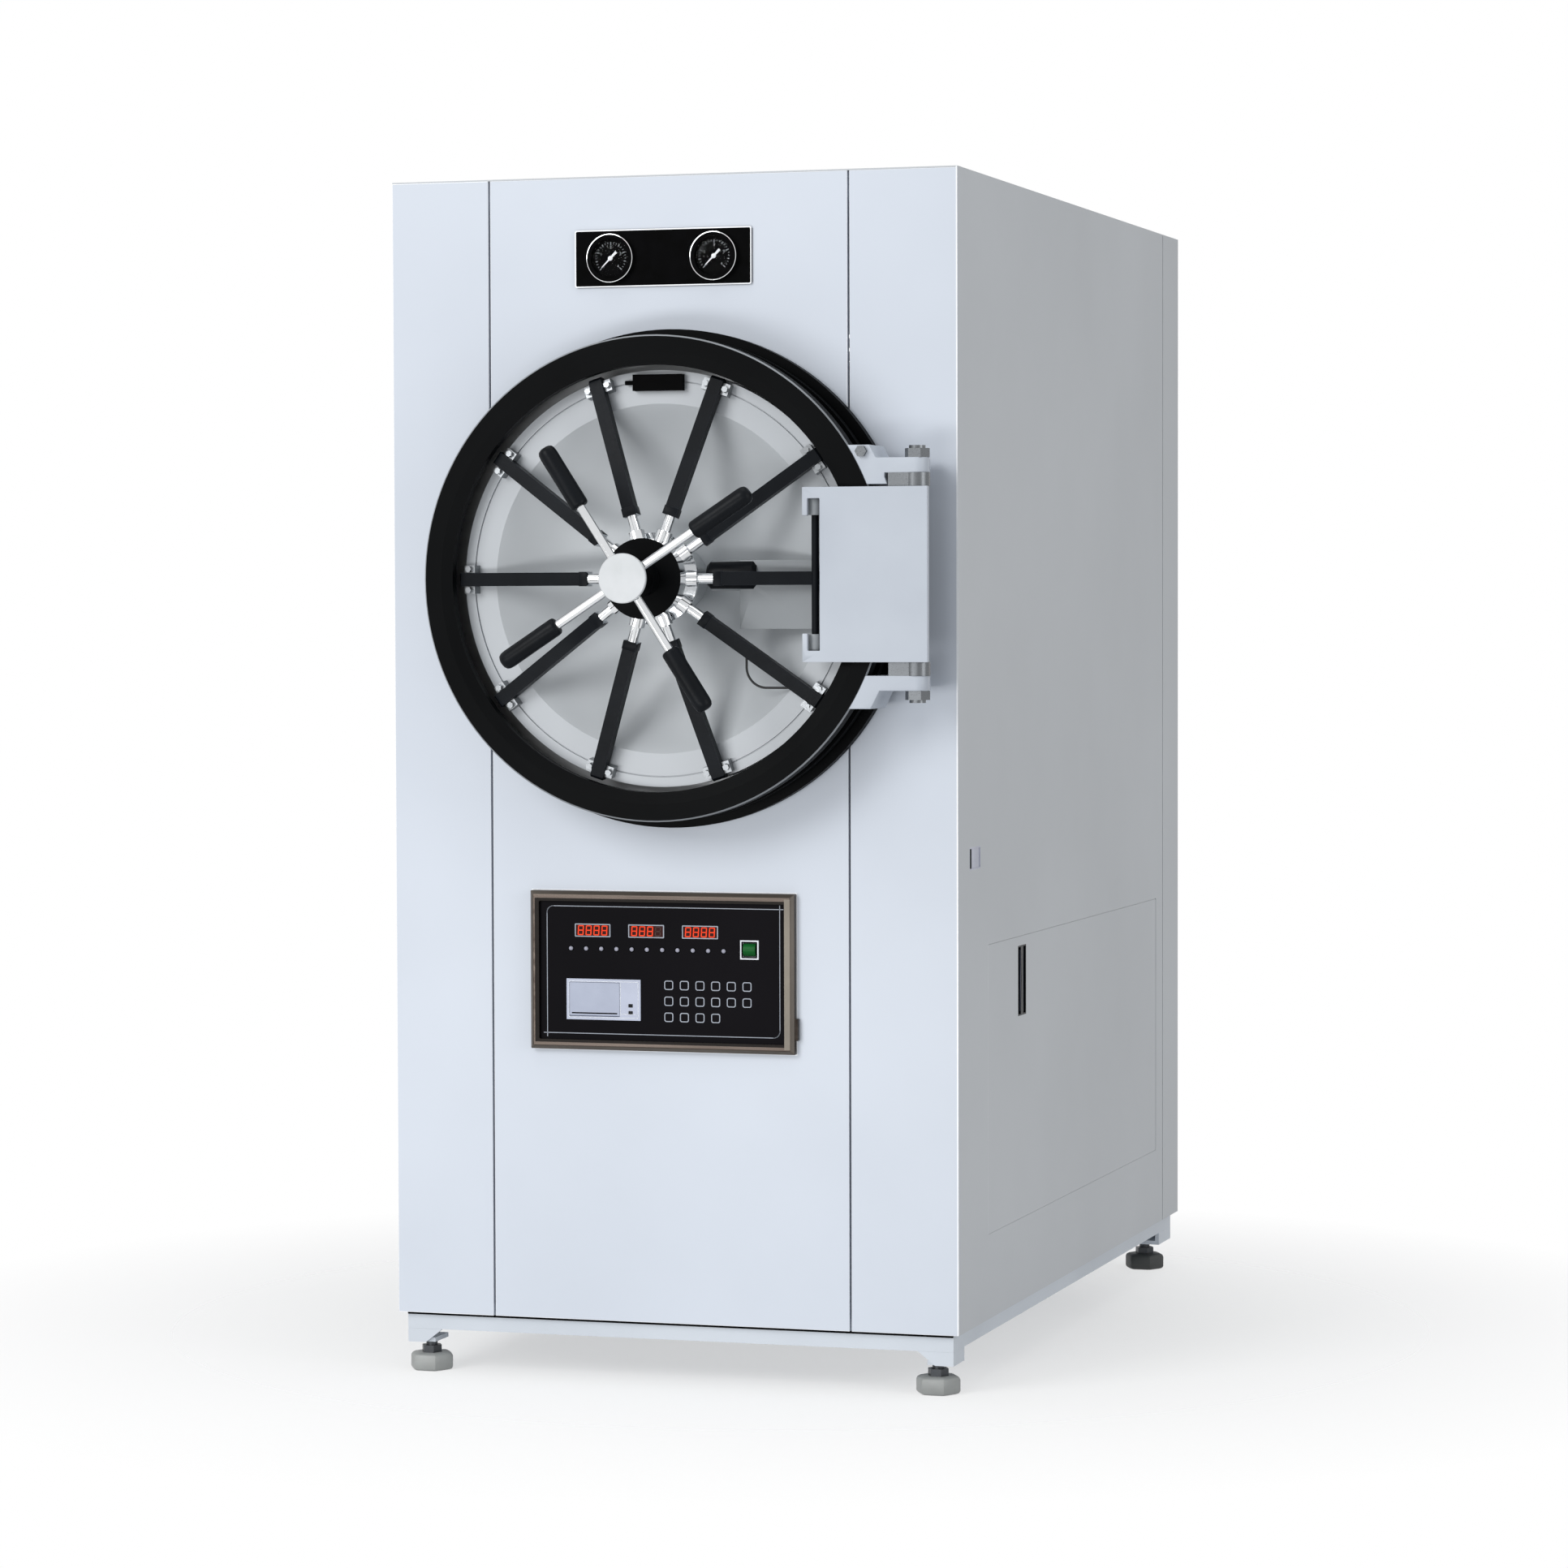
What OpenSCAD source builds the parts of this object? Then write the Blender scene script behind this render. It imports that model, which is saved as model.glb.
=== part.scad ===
/* [Cabinet] */
// Overall width of the cabinet
cab_w = 808; // [780:1:860]
// Depth of the cabinet from the front panels to the back panel
cab_d = 1360; // [1300:5:1500]
// Overall height from the floor to the top panel
cab_h = 1650; // [1620:5:1750]
// Height of the panels' lower edge above the floor
skirt_z = 83; // [76:1:95]
// Thickness of the sheet panels
sheet = 2; // [1.5:0.5:3]
// Depth of the folded panel edges
fold = 9; // [6:1:9]
// Gap between neighbouring panels
seam = 3; // [2:0.5:5]
// Width of the middle front panel
middle_w = 511; // [480:1:560]
// Length that the rear connections stand out of the back panel
fitting_reach = 35; // [25:1:45]

/* [Frame and feet] */
// Side of the square frame tube
tube = 40; // [30:1:44]
// Height of the base rails' lower face above the floor
rail_z = 59; // [54:1:66]
// Set-back of the base frame behind the panels
frame_inset = 10; // [10:1:14]
// Width of a corner leg plate
leg_w = 50; // [44:1:60]
// Height of the leg plates' lower edge above the floor
leg_z = 40; // [34:1:44]
// Width across the corners of a foot pad
pad_d = 62; // [54:1:66]
// Height of a foot pad
pad_h = 24; // [20:1:28]
// Diameter of a foot's stud
stud_d = 16; // [12:1:20]
// Distance of the feet from the cabinet's sides
foot_inset = 37; // [36:1:54]
// Distance of the front feet behind the front panels
foot_front = 31; // [31:1:48]
// Distance of the rear feet from the back panel
foot_rear = 78; // [72:1:84]

/* [Chamber] */
// Distance of the chamber's axis below the top of the cabinet
axis_drop = 548.5; // [520:0.5:570]
// Offset of the chamber's axis to the right of the middle
axis_x = 4; // [0:1:8]
// Inner radius of the chamber
chamber_r = 250; // [240:1:254]
// Length of the chamber's straight shell behind the front panels
chamber_l = 1000; // [900:10:1100]
// Wall of the chamber's shell
shell_t = 6; // [5:0.5:8]
// Depth of the dished rear head
head_depth = 90; // [70:5:120]
// Outer radius of the insulation blanket
blanket_r = 330; // [310:1:345]

/* [Door ring] */
// Radius of the ring's front flange
ring_r = 327; // [325:1:332]
// Radius of the ring's rear flange
ring_rear_r = 338; // [336:1:342]
// Distance of the ring's front face before the front panels
ring_front = 93; // [91:1:96]
// Inner radius of the locking lip
lip_r = 287; // [286:0.5:289]
// Thickness of the locking lip
lip_t = 17; // [15:0.5:18]
// Radius of the pocket behind the lip
pocket_r = 309; // [308:0.5:312]

/* [Door] */
// Outer radius of the door plate
door_r = 281; // [278:0.5:281.5]
// Distance of the door's front face before the front panels
door_front = 55; // [54:0.5:56]
// Thickness of the door's rim
rim_t = 25; // [22:0.5:26]
// Radius of the dish's edge
dish_r = 236; // [228:1:242]
// Depth of the dish
dish_depth = 70; // [60:1:80]
// Wall of the dish
dish_t = 8; // [6:0.5:10]
// Gap between the gasket and its seat, which lets the door align itself
seat_gap = 2; // [1.8:0.1:2.5]

/* [Locking arms] */
// Width of an arm across its length
arm_w = 18; // [16:0.5:20]
// Thickness of an arm along the door's axis
arm_t = 16; // [13:0.5:16.5]
// Lean of the arms, hub end forward
arm_lean = 8; // [7.5:0.25:8.5]
// Distance of the point where the arms' axes meet before the front panels
apex_reach = 106; // [105.5:0.5:107]
// Radius of the arm tips with the lock open
tip_r = 283; // [281:0.5:284]
// Radius where the bars begin
bar_r = 88; // [86:1:100]
// Radius of the sliding rods at the inner ends
slide_r = 7; // [6:0.5:7]
// Sliding clearance of the rods and bars
slide_gap = 0.25; // [0.2:0.05:0.4]

/* [Hub and handwheel] */
// Radius of the hub housing
hub_r = 54; // [50:1:58]
// Distance of the hub housing's front face before the front panels
hub_front = 132; // [128:1:138]
// Radius of the bright ring behind the hub housing
hub_ring_r = 62; // [60:1:66]
// Radius of the handwheel spindle
spindle_r = 12; // [10:0.5:14]
// Running clearance of shafts and pins
running_gap = 0.05; // [0.03:0.01:0.08]
// Distance of the cap's face before the front panels
wheel_reach = 215; // [212:1:230]
// Radius of the cap
cap_r = 33; // [31:0.5:37]
// Distance of the grips' ends from the axis
handle_l = 206; // [190:1:210]
// Length of a grip
grip_l = 93; // [84:1:100]
// Radius of a grip
grip_r = 12.5; // [11:0.5:15]
// Angle of the first handle above the horizontal
handle_turn = 33; // [0:1:89]

/* [Door hinge] */
// Distance of the outer hinge pin from the middle plane
pin_x = 372; // [371:0.5:374]
// Distance of the outer hinge pin before the front panels
pin_reach = 85; // [84:0.5:86]
// Radius of the outer hinge pin
pin_r = 11; // [9:0.5:12]
// Height of the hinge's middle above the chamber's axis
hinge_up = 4.5; // [2:0.5:8]
// Height of the hinge plate
link_h = 232; // [228:2:240]
// Distance of the hinge plate's left edge from the middle plane
link_x = 219; // [217:0.5:221]
// Thickness of the hinge plate
link_t = 8; // [6:0.5:8]
// Distance of the inner hinge pin from the middle plane
inner_x = 232; // [230:0.5:234]
// Distance of the inner hinge pin before the front panels
inner_reach = 88; // [87.5:0.5:88.5]
// Radius of the inner hinge pin
inner_r = 5; // [4:0.5:5.5]
// Thickness of a hinge lug
lug_t = 20; // [16:0.5:22]
// Free height between hinge plate and lug, filled by washers
washer_gap = 18; // [17:0.5:22]

/* [Gauges] */
// Offset of the gauge plate to the left of the middle
gauge_x = 9; // [0:1:12]
// Width of the gauge plate
gauge_plate_w = 253; // [240:1:270]
// Height of the gauge plate
gauge_plate_h = 78; // [74:1:90]
// Distance of the gauges' axes below the top of the cabinet
gauge_drop = 112; // [100:1:125]
// Distance between the two gauges' axes
gauge_pitch = 148; // [130:1:160]
// Outer radius of a gauge
gauge_r = 33; // [28:0.5:35]
// Length of a gauge's needle
needle_l = 17.5; // [15:0.5:20]

/* [Control panel] */
// Offset of the control panel to the left of the middle
board_x = 12.5; // [0:0.5:16]
// Width of the control panel's frame
board_w = 380; // [370:1:390]
// Height of the control panel's frame
board_h = 218; // [212:1:230]
// Distance of the control panel's middle below the chamber's axis
board_drop = 535.5; // [520:0.5:560]
// Distance that the frame stands before the front panels
board_reach = 14; // [12:0.5:16]
// Width of the frame's bevelled border
board_border = 14; // [10:0.5:15]
// Width of one number display
display_w = 49; // [46:0.5:56]
// Height of one number display
display_h = 15.5; // [14:0.5:22]
// Radius of an indicator lamp
lamp_r = 3; // [2:0.25:4]
// Side of the power switch's bezel
switch_w = 26; // [24:0.5:30]
// Width of the printer
printer_w = 107; // [100:1:110]
// Height of the printer
printer_h = 56; // [52:1:60]
// Side of a film key
key_w = 12.5; // [11:0.5:15]
// Distance between neighbouring film keys
key_pitch = 22.4; // [19.4:0.5:22.4]

/* [Service door] */
// Distance of the service door's front edge behind the front panels
service_front = 156; // [140:2:180]
// Distance of the service doorway's rear edge before the back panel
service_back = 160; // [140:2:220]
// Height of the doorway's lower edge above the floor
service_z = 200; // [190:1:210]
// Height of the service doorway
service_h = 400; // [390:2:410]
// Length of the recessed pull
pull_h = 99; // [90:1:110]
// Width of the recessed pull
pull_w = 46; // [40:1:52]

/* [Hidden] */
$fn = 72;

// Overrun of every cut past the face that it opens
over = 1;
// Number of sides of nuts, bolt heads and foot pads
hex = 6;
// Half of a measure
half = 1 / 2;

// The origin lies on the floor below the middle of the whole depth
mid_y = (cab_d + fitting_reach - wheel_reach) / 2;
axis_z = cab_h - axis_drop;
hinge_z = axis_z + hinge_up;
gauge_z = cab_h - gauge_drop;
board_z = axis_z - board_drop;
foot_x = cab_w / 2 - foot_inset;
foot_back = cab_d - foot_rear;
service_l = cab_d - service_front - service_back;
panel_top = cab_h - sheet;
inner_w = cab_w - 2 * sheet;
side_w = (cab_w - middle_w) / 2;
panel_hole_r = pocket_r + seam / 2;

// Half of a fitted curved gap on a side, and between a pin and its fixed hole
fit_gap = 0.3;
middle_x = 4.5;
front_h = panel_top - skirt_z;
rim_cut = 2;

// Frame
frame_w = cab_w - 2 * frame_inset;
frame_d = cab_d - 2 * frame_inset;
rail_top = rail_z + tube;
leg_t = 6;
gusset_w = 24;
rear_leg_l = 78;
tray_t = 3;
weld_gap = 0.1;
saddle_t = 12;
saddle_w = 560;
saddle_z = axis_z - blanket_r - tube;
saddle_h = 112;
saddle_shares = [0.25, 0.9];
nut_h = 10;
nut_r = 14.5;

// Chamber and blanket
gasket_proud = 4;
seat_reach = door_front - rim_t - gasket_proud - seat_gap;
flange_back = 30;
blanket_front = 45;
blanket_back = chamber_l - blanket_front;
blanket_in = 287;
rib_r = blanket_in - 1;
rib_t = 10;
rib_shares = [0.2, 0.4, 0.6, 0.8];
nozzle_r = 14;
nozzle_out = 30;
nozzle_y = 490;
nozzle_flange_r = 30;
head_r = (chamber_r * chamber_r + head_depth * head_depth) / (2 * head_depth);
head_y = chamber_l + head_depth - head_r;

// Door ring
ring_bead = 6;
ring_body_r = ring_r - ring_bead;
ring_step = 3;
rear_flange_t = 18;
bead_back = 30;
bead_front = 45;
front_flange_t = 23;
crease_w = 16;
crease_r = lip_r + crease_w;

// Door
gasket_w = 12;
gasket_sunk = 6;
gasket_inset = 19;
gasket_r = door_r - gasket_inset;
groove_inset = 15;
groove_r = door_r - groove_inset;
groove_w = 2;
groove_depth = 3;
dish_sphere = (dish_r * dish_r + dish_depth * dish_depth) / (2 * dish_depth);
dish_y = dish_depth - door_front - dish_sphere;
boss_inset = 9;
boss_r = hub_r - boss_inset;
hub_back = 84;
hub_ring_t = 5;
hub_room_r = 40;
hub_wall = 18;
hub_neck_r = 24;
hub_neck = 18;

// Arms
arm_count = 10;
arm_step = 360 / arm_count;
rod_start = 25;
tip_cut = 4;
guide_inset = 11;
guide_r = door_r - guide_inset;
guide_l = 16;
guide_side = 10;
guide_top = 1;
guide_bolt_r = 4.5;
guide_bolt_h = 5;
hub_boss_wall = 4;
hub_boss_r = slide_r + hub_boss_wall;
hub_boss_l = 12;
hub_boss_end = hub_r + hub_boss_l;
collar_l = 12;
collar_more = 0.8;

// Handwheel
cap_t = 5;
cap_rim = 6;
wheel_hub_r = cap_r - cap_rim;
wheel_hub_t = 22;
handle_rod_r = 6;
handle_plane = 8;
handle_root = 20;
rod_in_grip = 80;
spindle_in = 92;
cam_r = 22;
cam_t = 10;
handle_count = 4;
handle_step = 360 / handle_count;

// Hinge
link_over = 19.5;
link_w = pin_x + link_over - link_x;
link_out = 18;
link_front = inner_reach + link_out;
barrel_wall = 4;
barrel_r = pin_r + barrel_wall;
slot_w = 17;
slot_margin = 15;
slot_offset = 7;
open_margin = 38;
knuckle_w = 32;
knuckle_h = 8;
ear_r = 9;
ear_h = 22;
ear_gap = 7;
ear_w = 18;
lug_z = link_h / 2 + washer_gap;
lug_end = 16;
lug_back = 20;
lug_reach = pin_reach + lug_end;
web_t = 26;
pad_end = 331;
pad_t = 15;
thrust_x = 336;
thrust_w = 30;
web_back = 30;
web_low = 178;
web_rise = 17;
web_high = lug_z + lug_t + web_rise;
lug_root = 297;
washer_r = 17;
washer_play = 0.25;
hinge_nut_r = 17;
hinge_nut_h = 12;
pin_tail = 4;
pin_half = lug_z + lug_t + hinge_nut_h + pin_tail;
lug_bolt_r = 8;
lug_bolt_h = 6;
lug_bolt_x = 300;
plate_gap = 1;
arm_plate_t = 8;
arm_plate_low = 72;
arm_plate_top = 20;
arm_plate_x = 119;
arm_plate_end = 241;
arm_notch = 44;
arm_notch_x = 226;
neck_r = 10;
neck_reach = 54;
sleeve_x = 73;
sleeve_l = 70;
sleeve_r = 21;
sleeve_round = 5;

// Interlock switch and its cable
switch_l = 70;
switch_h = 22;
switch_t = 12;
switch_inset = 28;
switch_r = door_r - switch_inset;
plunger_l = 12;
plunger_r = 3;
cable_r = 1.6;
cable_reach = 62;
cable_x = 123.5;
cable_top = -92;
cable_low = -146.5;
cable_bend = 28;
cable_end = 190;

// Gauges
plate_t = 3;
plate_cut = 3;
bezel_w = 4.5;
bezel_t = 8;
dial_reach = 4.5;
case_r = 27;
case_back = 30;
needle_reach = 7.3;
needle_t = 0.8;
needle_w = 3.6;
needle_tip = 0.8;
needle_tail = 12;
needle_hub_r = 3.2;
needle_post_r = 1;
needle_post_reach = 8;
needle_zero = 225;

// Control panel
board_t = 4;
board_sunk = 5;
board_front = board_reach - board_sunk;
film_w = board_w - 2 * board_border;
film_h = board_h - 2 * board_border;
board_hole = 10;
bevel_w = 5;
display_u = -99.2;
display_pitch = 77.4;
display_v = 55.2;
display_proud = 0.8;
lamp_u = -130.9;
lamp_pitch = 22;
lamp_v = 30.1;
lamp_count = 11;
lamp_proud = 1;
switch_u = 126.3;
switch_v = 32.5;
switch_proud = 2;
switch_deep = 6;
rocker_w = 17;
rocker_room = 1.4;
rocker_pivot = 4;
rocker_crown = 9.6;
rocker_back = 3;
rocker_pin_r = 1.2;
rocker_pin_l = 2;
printer_u = -83.5;
printer_v = -39.4;
printer_proud = 2;
printer_deep = 19;
cover_w = 72;
cover_h = 46;
cover_u = -13;
cover_t = 3;
cover_gap = 0.5;
cover_pin_r = 1;
cover_pin_l = 2.5;
paper_bay = 24;
button_w = 5.5;
button_h = 4;
button_u = 39.3;
button_v = 7.7;
button_pitch = 9.6;
button_proud = 1.2;
button_deep = 5.2;
button_room = 6;
key_u = 10.4;
key_v = -17.9;
key_drop = 21.9;
key_rows = [6, 6, 4];
key_proud = 0.5;
key_line = 1.5;
key_cut = 2.5;
tab_w = 4;
tab_h = 30;
tab_t = 8;
tab_drop = 90;

// Panels, service door and latch
return_l = 110;
side_l = cab_d - return_l - seam - sheet;
door_gap = 1;
pivot_gap = 2.5;
service_fold = 18;
pivot_inset = 9;
pivot_x = cab_w / 2 - pivot_inset;
pivot_back = 11.5;
pivot_y = service_front + service_l - pivot_back;
pivot_r = 3;
pivot_l = 8;
pivot_tab = 14;
pivot_tab_t = 3;
pull_y = 189;
pull_drop = 63.5;
pull_z = service_z + service_h - pull_drop;
pull_depth = 18;
pull_wall = 2;
pull_grip = 15;
pull_waist = 4;
latch_w = 58;
latch_h = 31;
latch_y = 88;
latch_up = 122;
latch_z = service_z + service_h + latch_up;
latch_t = 12;
latch_slot = 9;
latch_dent = 4;

// Back panel
louvre_w = 110;
louvre_h = 6;
louvre_pitch = 22;
louvre_count = 9;
louvre_x = 150;
louvre_drop = 320;
louvre_z = cab_h - louvre_drop;
fitting_r = 13;
fitting_bore = 9;
fitting_nut_r = 20;
fitting_nut_t = 12;
fitting_in = 30;
fitting_x = [-230, -110, 10, 150];
fitting_z = 210;

// Plant in the lower compartment
boiler_r = 105;
boiler_z = 150;
boiler_room = 211.5;
boiler_h = saddle_z - boiler_z - boiler_room;
boiler_head = 30;
boiler_leg = 26;
boiler_leg_x = 60;
pump_inset = 179;
pump_x = cab_w / 2 - pump_inset;
pump_y = 700;
pump_r = 62;
pump_l = 150;
pump_foot = 12;
pump_foot_w = 90;
pump_head_r = 70;
pump_head_l = 50;
pump_port_r = 14;
pump_port_h = 40;

module placed() translate([0, -mid_y, 0]) children();
module on_axis() placed() translate([axis_x, 0, axis_z]) children();
module mirrored_x() {
    children();
    mirror([1, 0, 0]) children();
}

// A box given by its lowest corner and its size
module block(corner, size) translate(corner) cube(size);

// A cylinder along Y between two distances before the front panels
module rod_y(r, front, back) translate([0, -back, 0]) rotate([90, 0, 0]) cylinder(r = r, h = front - back);

// A solid turned about Y from points of radius and place along Y
module turned(points) rotate([-90, 0, 0]) rotate_extrude() polygon(points);

// The frame of one locking arm: X runs outward along it, Z runs across it
module along_arm(i) on_axis() translate([0, -apex_reach, 0])
    rotate([0, -arm_step * i, 0]) rotate([0, 0, arm_lean]) children();
function along(r) = r / cos(arm_lean);

// A flat outline with cut corners, centred
module cut_outline(w, h, cut) polygon([[-w / 2, -h / 2 + cut], [-w / 2 + cut, -h / 2],
    [w / 2 - cut, -h / 2], [w / 2, -h / 2 + cut], [w / 2, h / 2 - cut], [w / 2 - cut, h / 2],
    [-w / 2 + cut, h / 2], [-w / 2, h / 2 - cut]]);

// A flat outline in the plane of the front, thickened between two distances before it
module front_plate(front, back) translate([0, -back, 0]) rotate([90, 0, 0])
    linear_extrude(front - back) children();

// A centred box in the plane of the front between two distances before it
module front_box(w, h, front, back) translate([-w / 2, -front, -h / 2]) cube([w, front - back, h]);

module at_gauges() placed() for (side = [-1, 1])
    translate([-gauge_x + side * gauge_pitch / 2, 0, gauge_z]) children();
module at_board(u, v) translate([-board_x + u, 0, board_z + v]) children();

// Welded frame: separate tubes that meet across a hairline joint
module cabinet_frame() placed() color("gainsboro") {
    rail_l = frame_d - 2 * tube - 2 * weld_gap;
    post_top = panel_top - tube - weld_gap;
    post_low = rail_top + weld_gap;
    for (y = [frame_inset, cab_d - frame_inset - tube]) {
        block([-frame_w / 2, y, rail_z], [frame_w, tube, tube]);
        block([-frame_w / 2, y, panel_top - tube], [frame_w, tube, tube]);
        mirrored_x() block([-frame_w / 2, y, post_low], [tube, tube, post_top - post_low]);
    }
    for (z = [rail_z, panel_top - tube]) mirrored_x()
        block([-frame_w / 2, frame_inset + tube + weld_gap, z], [tube, rail_l, tube]);
    for (share = saddle_shares)
        translate([0, blanket_front + (blanket_back - blanket_front) * share, 0]) saddle();
    mirrored_x() for (end = [0, 1]) corner_leg(end);
    block([tube + weld_gap - frame_w / 2, frame_inset + tube + weld_gap, rail_top - tray_t],
        [frame_w - 2 * tube - 2 * weld_gap, rail_l, tray_t]);
}

// Cradle under the chamber with its two posts
module saddle() {
    mirrored_x() block([-saddle_w / 2, 0, rail_top + weld_gap],
        [tube, tube, saddle_z - rail_top - 2 * weld_gap]);
    difference() {
        block([-saddle_w / 2, 0, saddle_z], [saddle_w, saddle_t, saddle_h]);
        translate([axis_x, 0, axis_z]) rod_y(blanket_r + fit_gap, over, -saddle_t - over);
    }
}

// Leg plates with a sloping gusset, at the front (0) or at the back (1)
module corner_leg(end) {
    x = -frame_w / 2;
    drop = rail_z - leg_z - weld_gap;
    l = end == 0 ? leg_w : rear_leg_l;
    translate([0, end == 0 ? frame_inset : cab_d - frame_inset, 0]) mirror([0, end, 0]) {
        translate([0, leg_t, 0]) rotate([90, 0, 0]) linear_extrude(leg_t)
            polygon([[x, leg_z], [x + leg_w - gusset_w, leg_z], [x + leg_w, leg_z + drop],
                [x, leg_z + drop]]);
        block([x, leg_t, leg_z], [leg_w - gusset_w / 2, l, leg_t]);
        block([x, leg_t, leg_z], [leg_t, l, drop]);
    }
}

module at_feet() for (y = [foot_front, foot_back]) mirrored_x() translate([foot_x, y, 0]) children();

module foot_pads() placed() color("darkgray") at_feet() difference() {
    cylinder(r = pad_d / 2, h = pad_h, $fn = hex);
    translate([0, 0, pad_h / 2]) cylinder(r = stud_d / 2 + fit_gap, h = pad_h);
}

module foot_studs() placed() color("silver") at_feet() {
    translate([0, 0, pad_h / 2]) cylinder(r = stud_d / 2, h = leg_z - pad_h / 2);
    translate([0, 0, pad_h]) difference() {
        cylinder(r = nut_r, h = nut_h, $fn = hex);
        translate([0, 0, -over]) cylinder(r = stud_d / 2 + fit_gap, h = nut_h + 2 * over);
    }
}

// A front panel from x on, with its folded edges; a side counts -1, 0 or 1
module front_panel(x, w, fold_left, fold_right) placed() difference() {
    union() {
        block([x, 0, skirt_z], [w, sheet, front_h]);
        for (z = [skirt_z, panel_top - sheet])
            block([x + fold + seam, 0, z], [w - 2 * fold - 2 * seam, fold, sheet]);
        if (fold_left) block([x, 0, skirt_z], [sheet, fold, front_h]);
        if (fold_right) block([x + w - sheet, 0, skirt_z], [sheet, fold, front_h]);
    }
    translate([axis_x, 0, axis_z]) rod_y(panel_hole_r, over, -fold - over);
    children();
}

module front_panel_left() color("aliceblue")
    front_panel(-cab_w / 2, cab_w / 2 - middle_x - middle_w / 2 - seam, false, true);

module front_panel_right() color("aliceblue")
    front_panel(-middle_x + middle_w / 2 + seam, cab_w / 2 + middle_x - middle_w / 2 - seam, true, false);

module front_panel_centre() color("aliceblue") front_panel(-middle_x - middle_w / 2, middle_w, true, true) {
    for (side = [-1, 1]) translate([-gauge_x + side * gauge_pitch / 2, 0, gauge_z])
        rod_y(case_r + fit_gap, over, -sheet - over);
    at_board(0, 0) front_box(film_w - 2 * board_hole, film_h - 2 * board_hole, over, -sheet - over);
}

module side_sheet() {
    block([cab_w / 2 - sheet, sheet, skirt_z], [sheet, side_l, front_h]);
    for (y = [sheet, side_l]) block([cab_w / 2 - fold, y, skirt_z], [fold, sheet, front_h]);
    for (z = [skirt_z, panel_top - sheet]) block([cab_w / 2 - fold, sheet, z], [fold, side_l, sheet]);
}

module side_panel_left() placed() color("lightsteelblue") mirror([1, 0, 0]) side_sheet();

module side_panel_right() placed() color("lightsteelblue") {
    difference() {
        side_sheet();
        block([cab_w / 2 - 2 * sheet, service_front, service_z], [4 * sheet, service_l, service_h]);
        block([cab_w / 2 - 2 * sheet, latch_y - latch_w / 2, latch_z - latch_h / 2],
            [4 * sheet, latch_w, latch_h]);
    }
    for (z = [service_z - over - pivot_tab_t, service_z + service_h + over]) difference() {
        block([pivot_x - pivot_tab / 2, pivot_y - pivot_tab / 2, z],
            [cab_w / 2 - sheet - pivot_x + pivot_tab / 2, pivot_tab, pivot_tab_t]);
        translate([pivot_x, pivot_y, z - over])
            cylinder(r = pivot_r + running_gap, h = pivot_tab_t + 2 * over);
    }
}

module top_panel() placed() color("lightsteelblue")
    block([-cab_w / 2, 0, panel_top], [cab_w, cab_d, sheet]);

module back_panel() placed() color("lightsteelblue") difference() {
    union() {
        block([-cab_w / 2, cab_d - sheet, skirt_z], [cab_w, sheet, front_h]);
        mirrored_x() block([cab_w / 2 - sheet, cab_d - return_l, skirt_z], [sheet, return_l, front_h]);
    }
    for (i = [0:louvre_count - 1], side = [-1, 1])
        translate([side * louvre_x, cab_d, louvre_z + i * louvre_pitch])
            front_box(louvre_w, louvre_h, sheet + over, -over);
    for (x = fitting_x) translate([x, cab_d, fitting_z]) rod_y(fitting_r + fit_gap, sheet + over, -over);
}

module back_fittings() placed() color("goldenrod") for (x = fitting_x) translate([x, cab_d, fitting_z]) {
    difference() {
        union() {
            rod_y(fitting_r, fitting_in, -fitting_reach);
            translate([0, fitting_nut_t, 0]) rotate([90, 0, 0])
                cylinder(r = fitting_nut_r, h = fitting_nut_t, $fn = hex);
        }
        rod_y(fitting_bore, fitting_in + over, -fitting_reach - over);
    }
}

module gauge_plate() placed() color("silver") difference() {
    translate([-gauge_x, 0, gauge_z]) front_plate(plate_t, 0)
        cut_outline(gauge_plate_w, gauge_plate_h, plate_cut);
    for (side = [-1, 1]) translate([-gauge_x + side * gauge_pitch / 2, 0, gauge_z])
        rod_y(case_r + fit_gap, plate_t + over, -over);
}

module gauge_cases() color("dimgray") at_gauges() {
    difference() {
        union() {
            rod_y(case_r, plate_t + over, -case_back);
            rod_y(gauge_r, plate_t + bezel_t, plate_t);
        }
        rod_y(gauge_r - bezel_w, plate_t + bezel_t + over, dial_reach);
    }
    rod_y(needle_post_r, needle_post_reach, dial_reach - over);
}

module gauge_needle(side) color("white") placed()
    translate([-gauge_x + side * gauge_pitch / 2, 0, gauge_z]) difference() {
        union() {
            rotate([0, -needle_zero, 0]) front_plate(needle_reach, needle_reach - needle_t)
                polygon([[-needle_tail, -needle_w / 2], [-needle_tail, needle_w / 2],
                    [needle_l, needle_tip / 2], [needle_l, -needle_tip / 2]]);
            rod_y(needle_hub_r, needle_reach + needle_t / 2, needle_reach - 3 * needle_t / 2);
        }
        rod_y(needle_post_r + running_gap, needle_reach + 2 * over, dial_reach);
    }
module gauge_needle_left() gauge_needle(-1);
module gauge_needle_right() gauge_needle(1);

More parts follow.
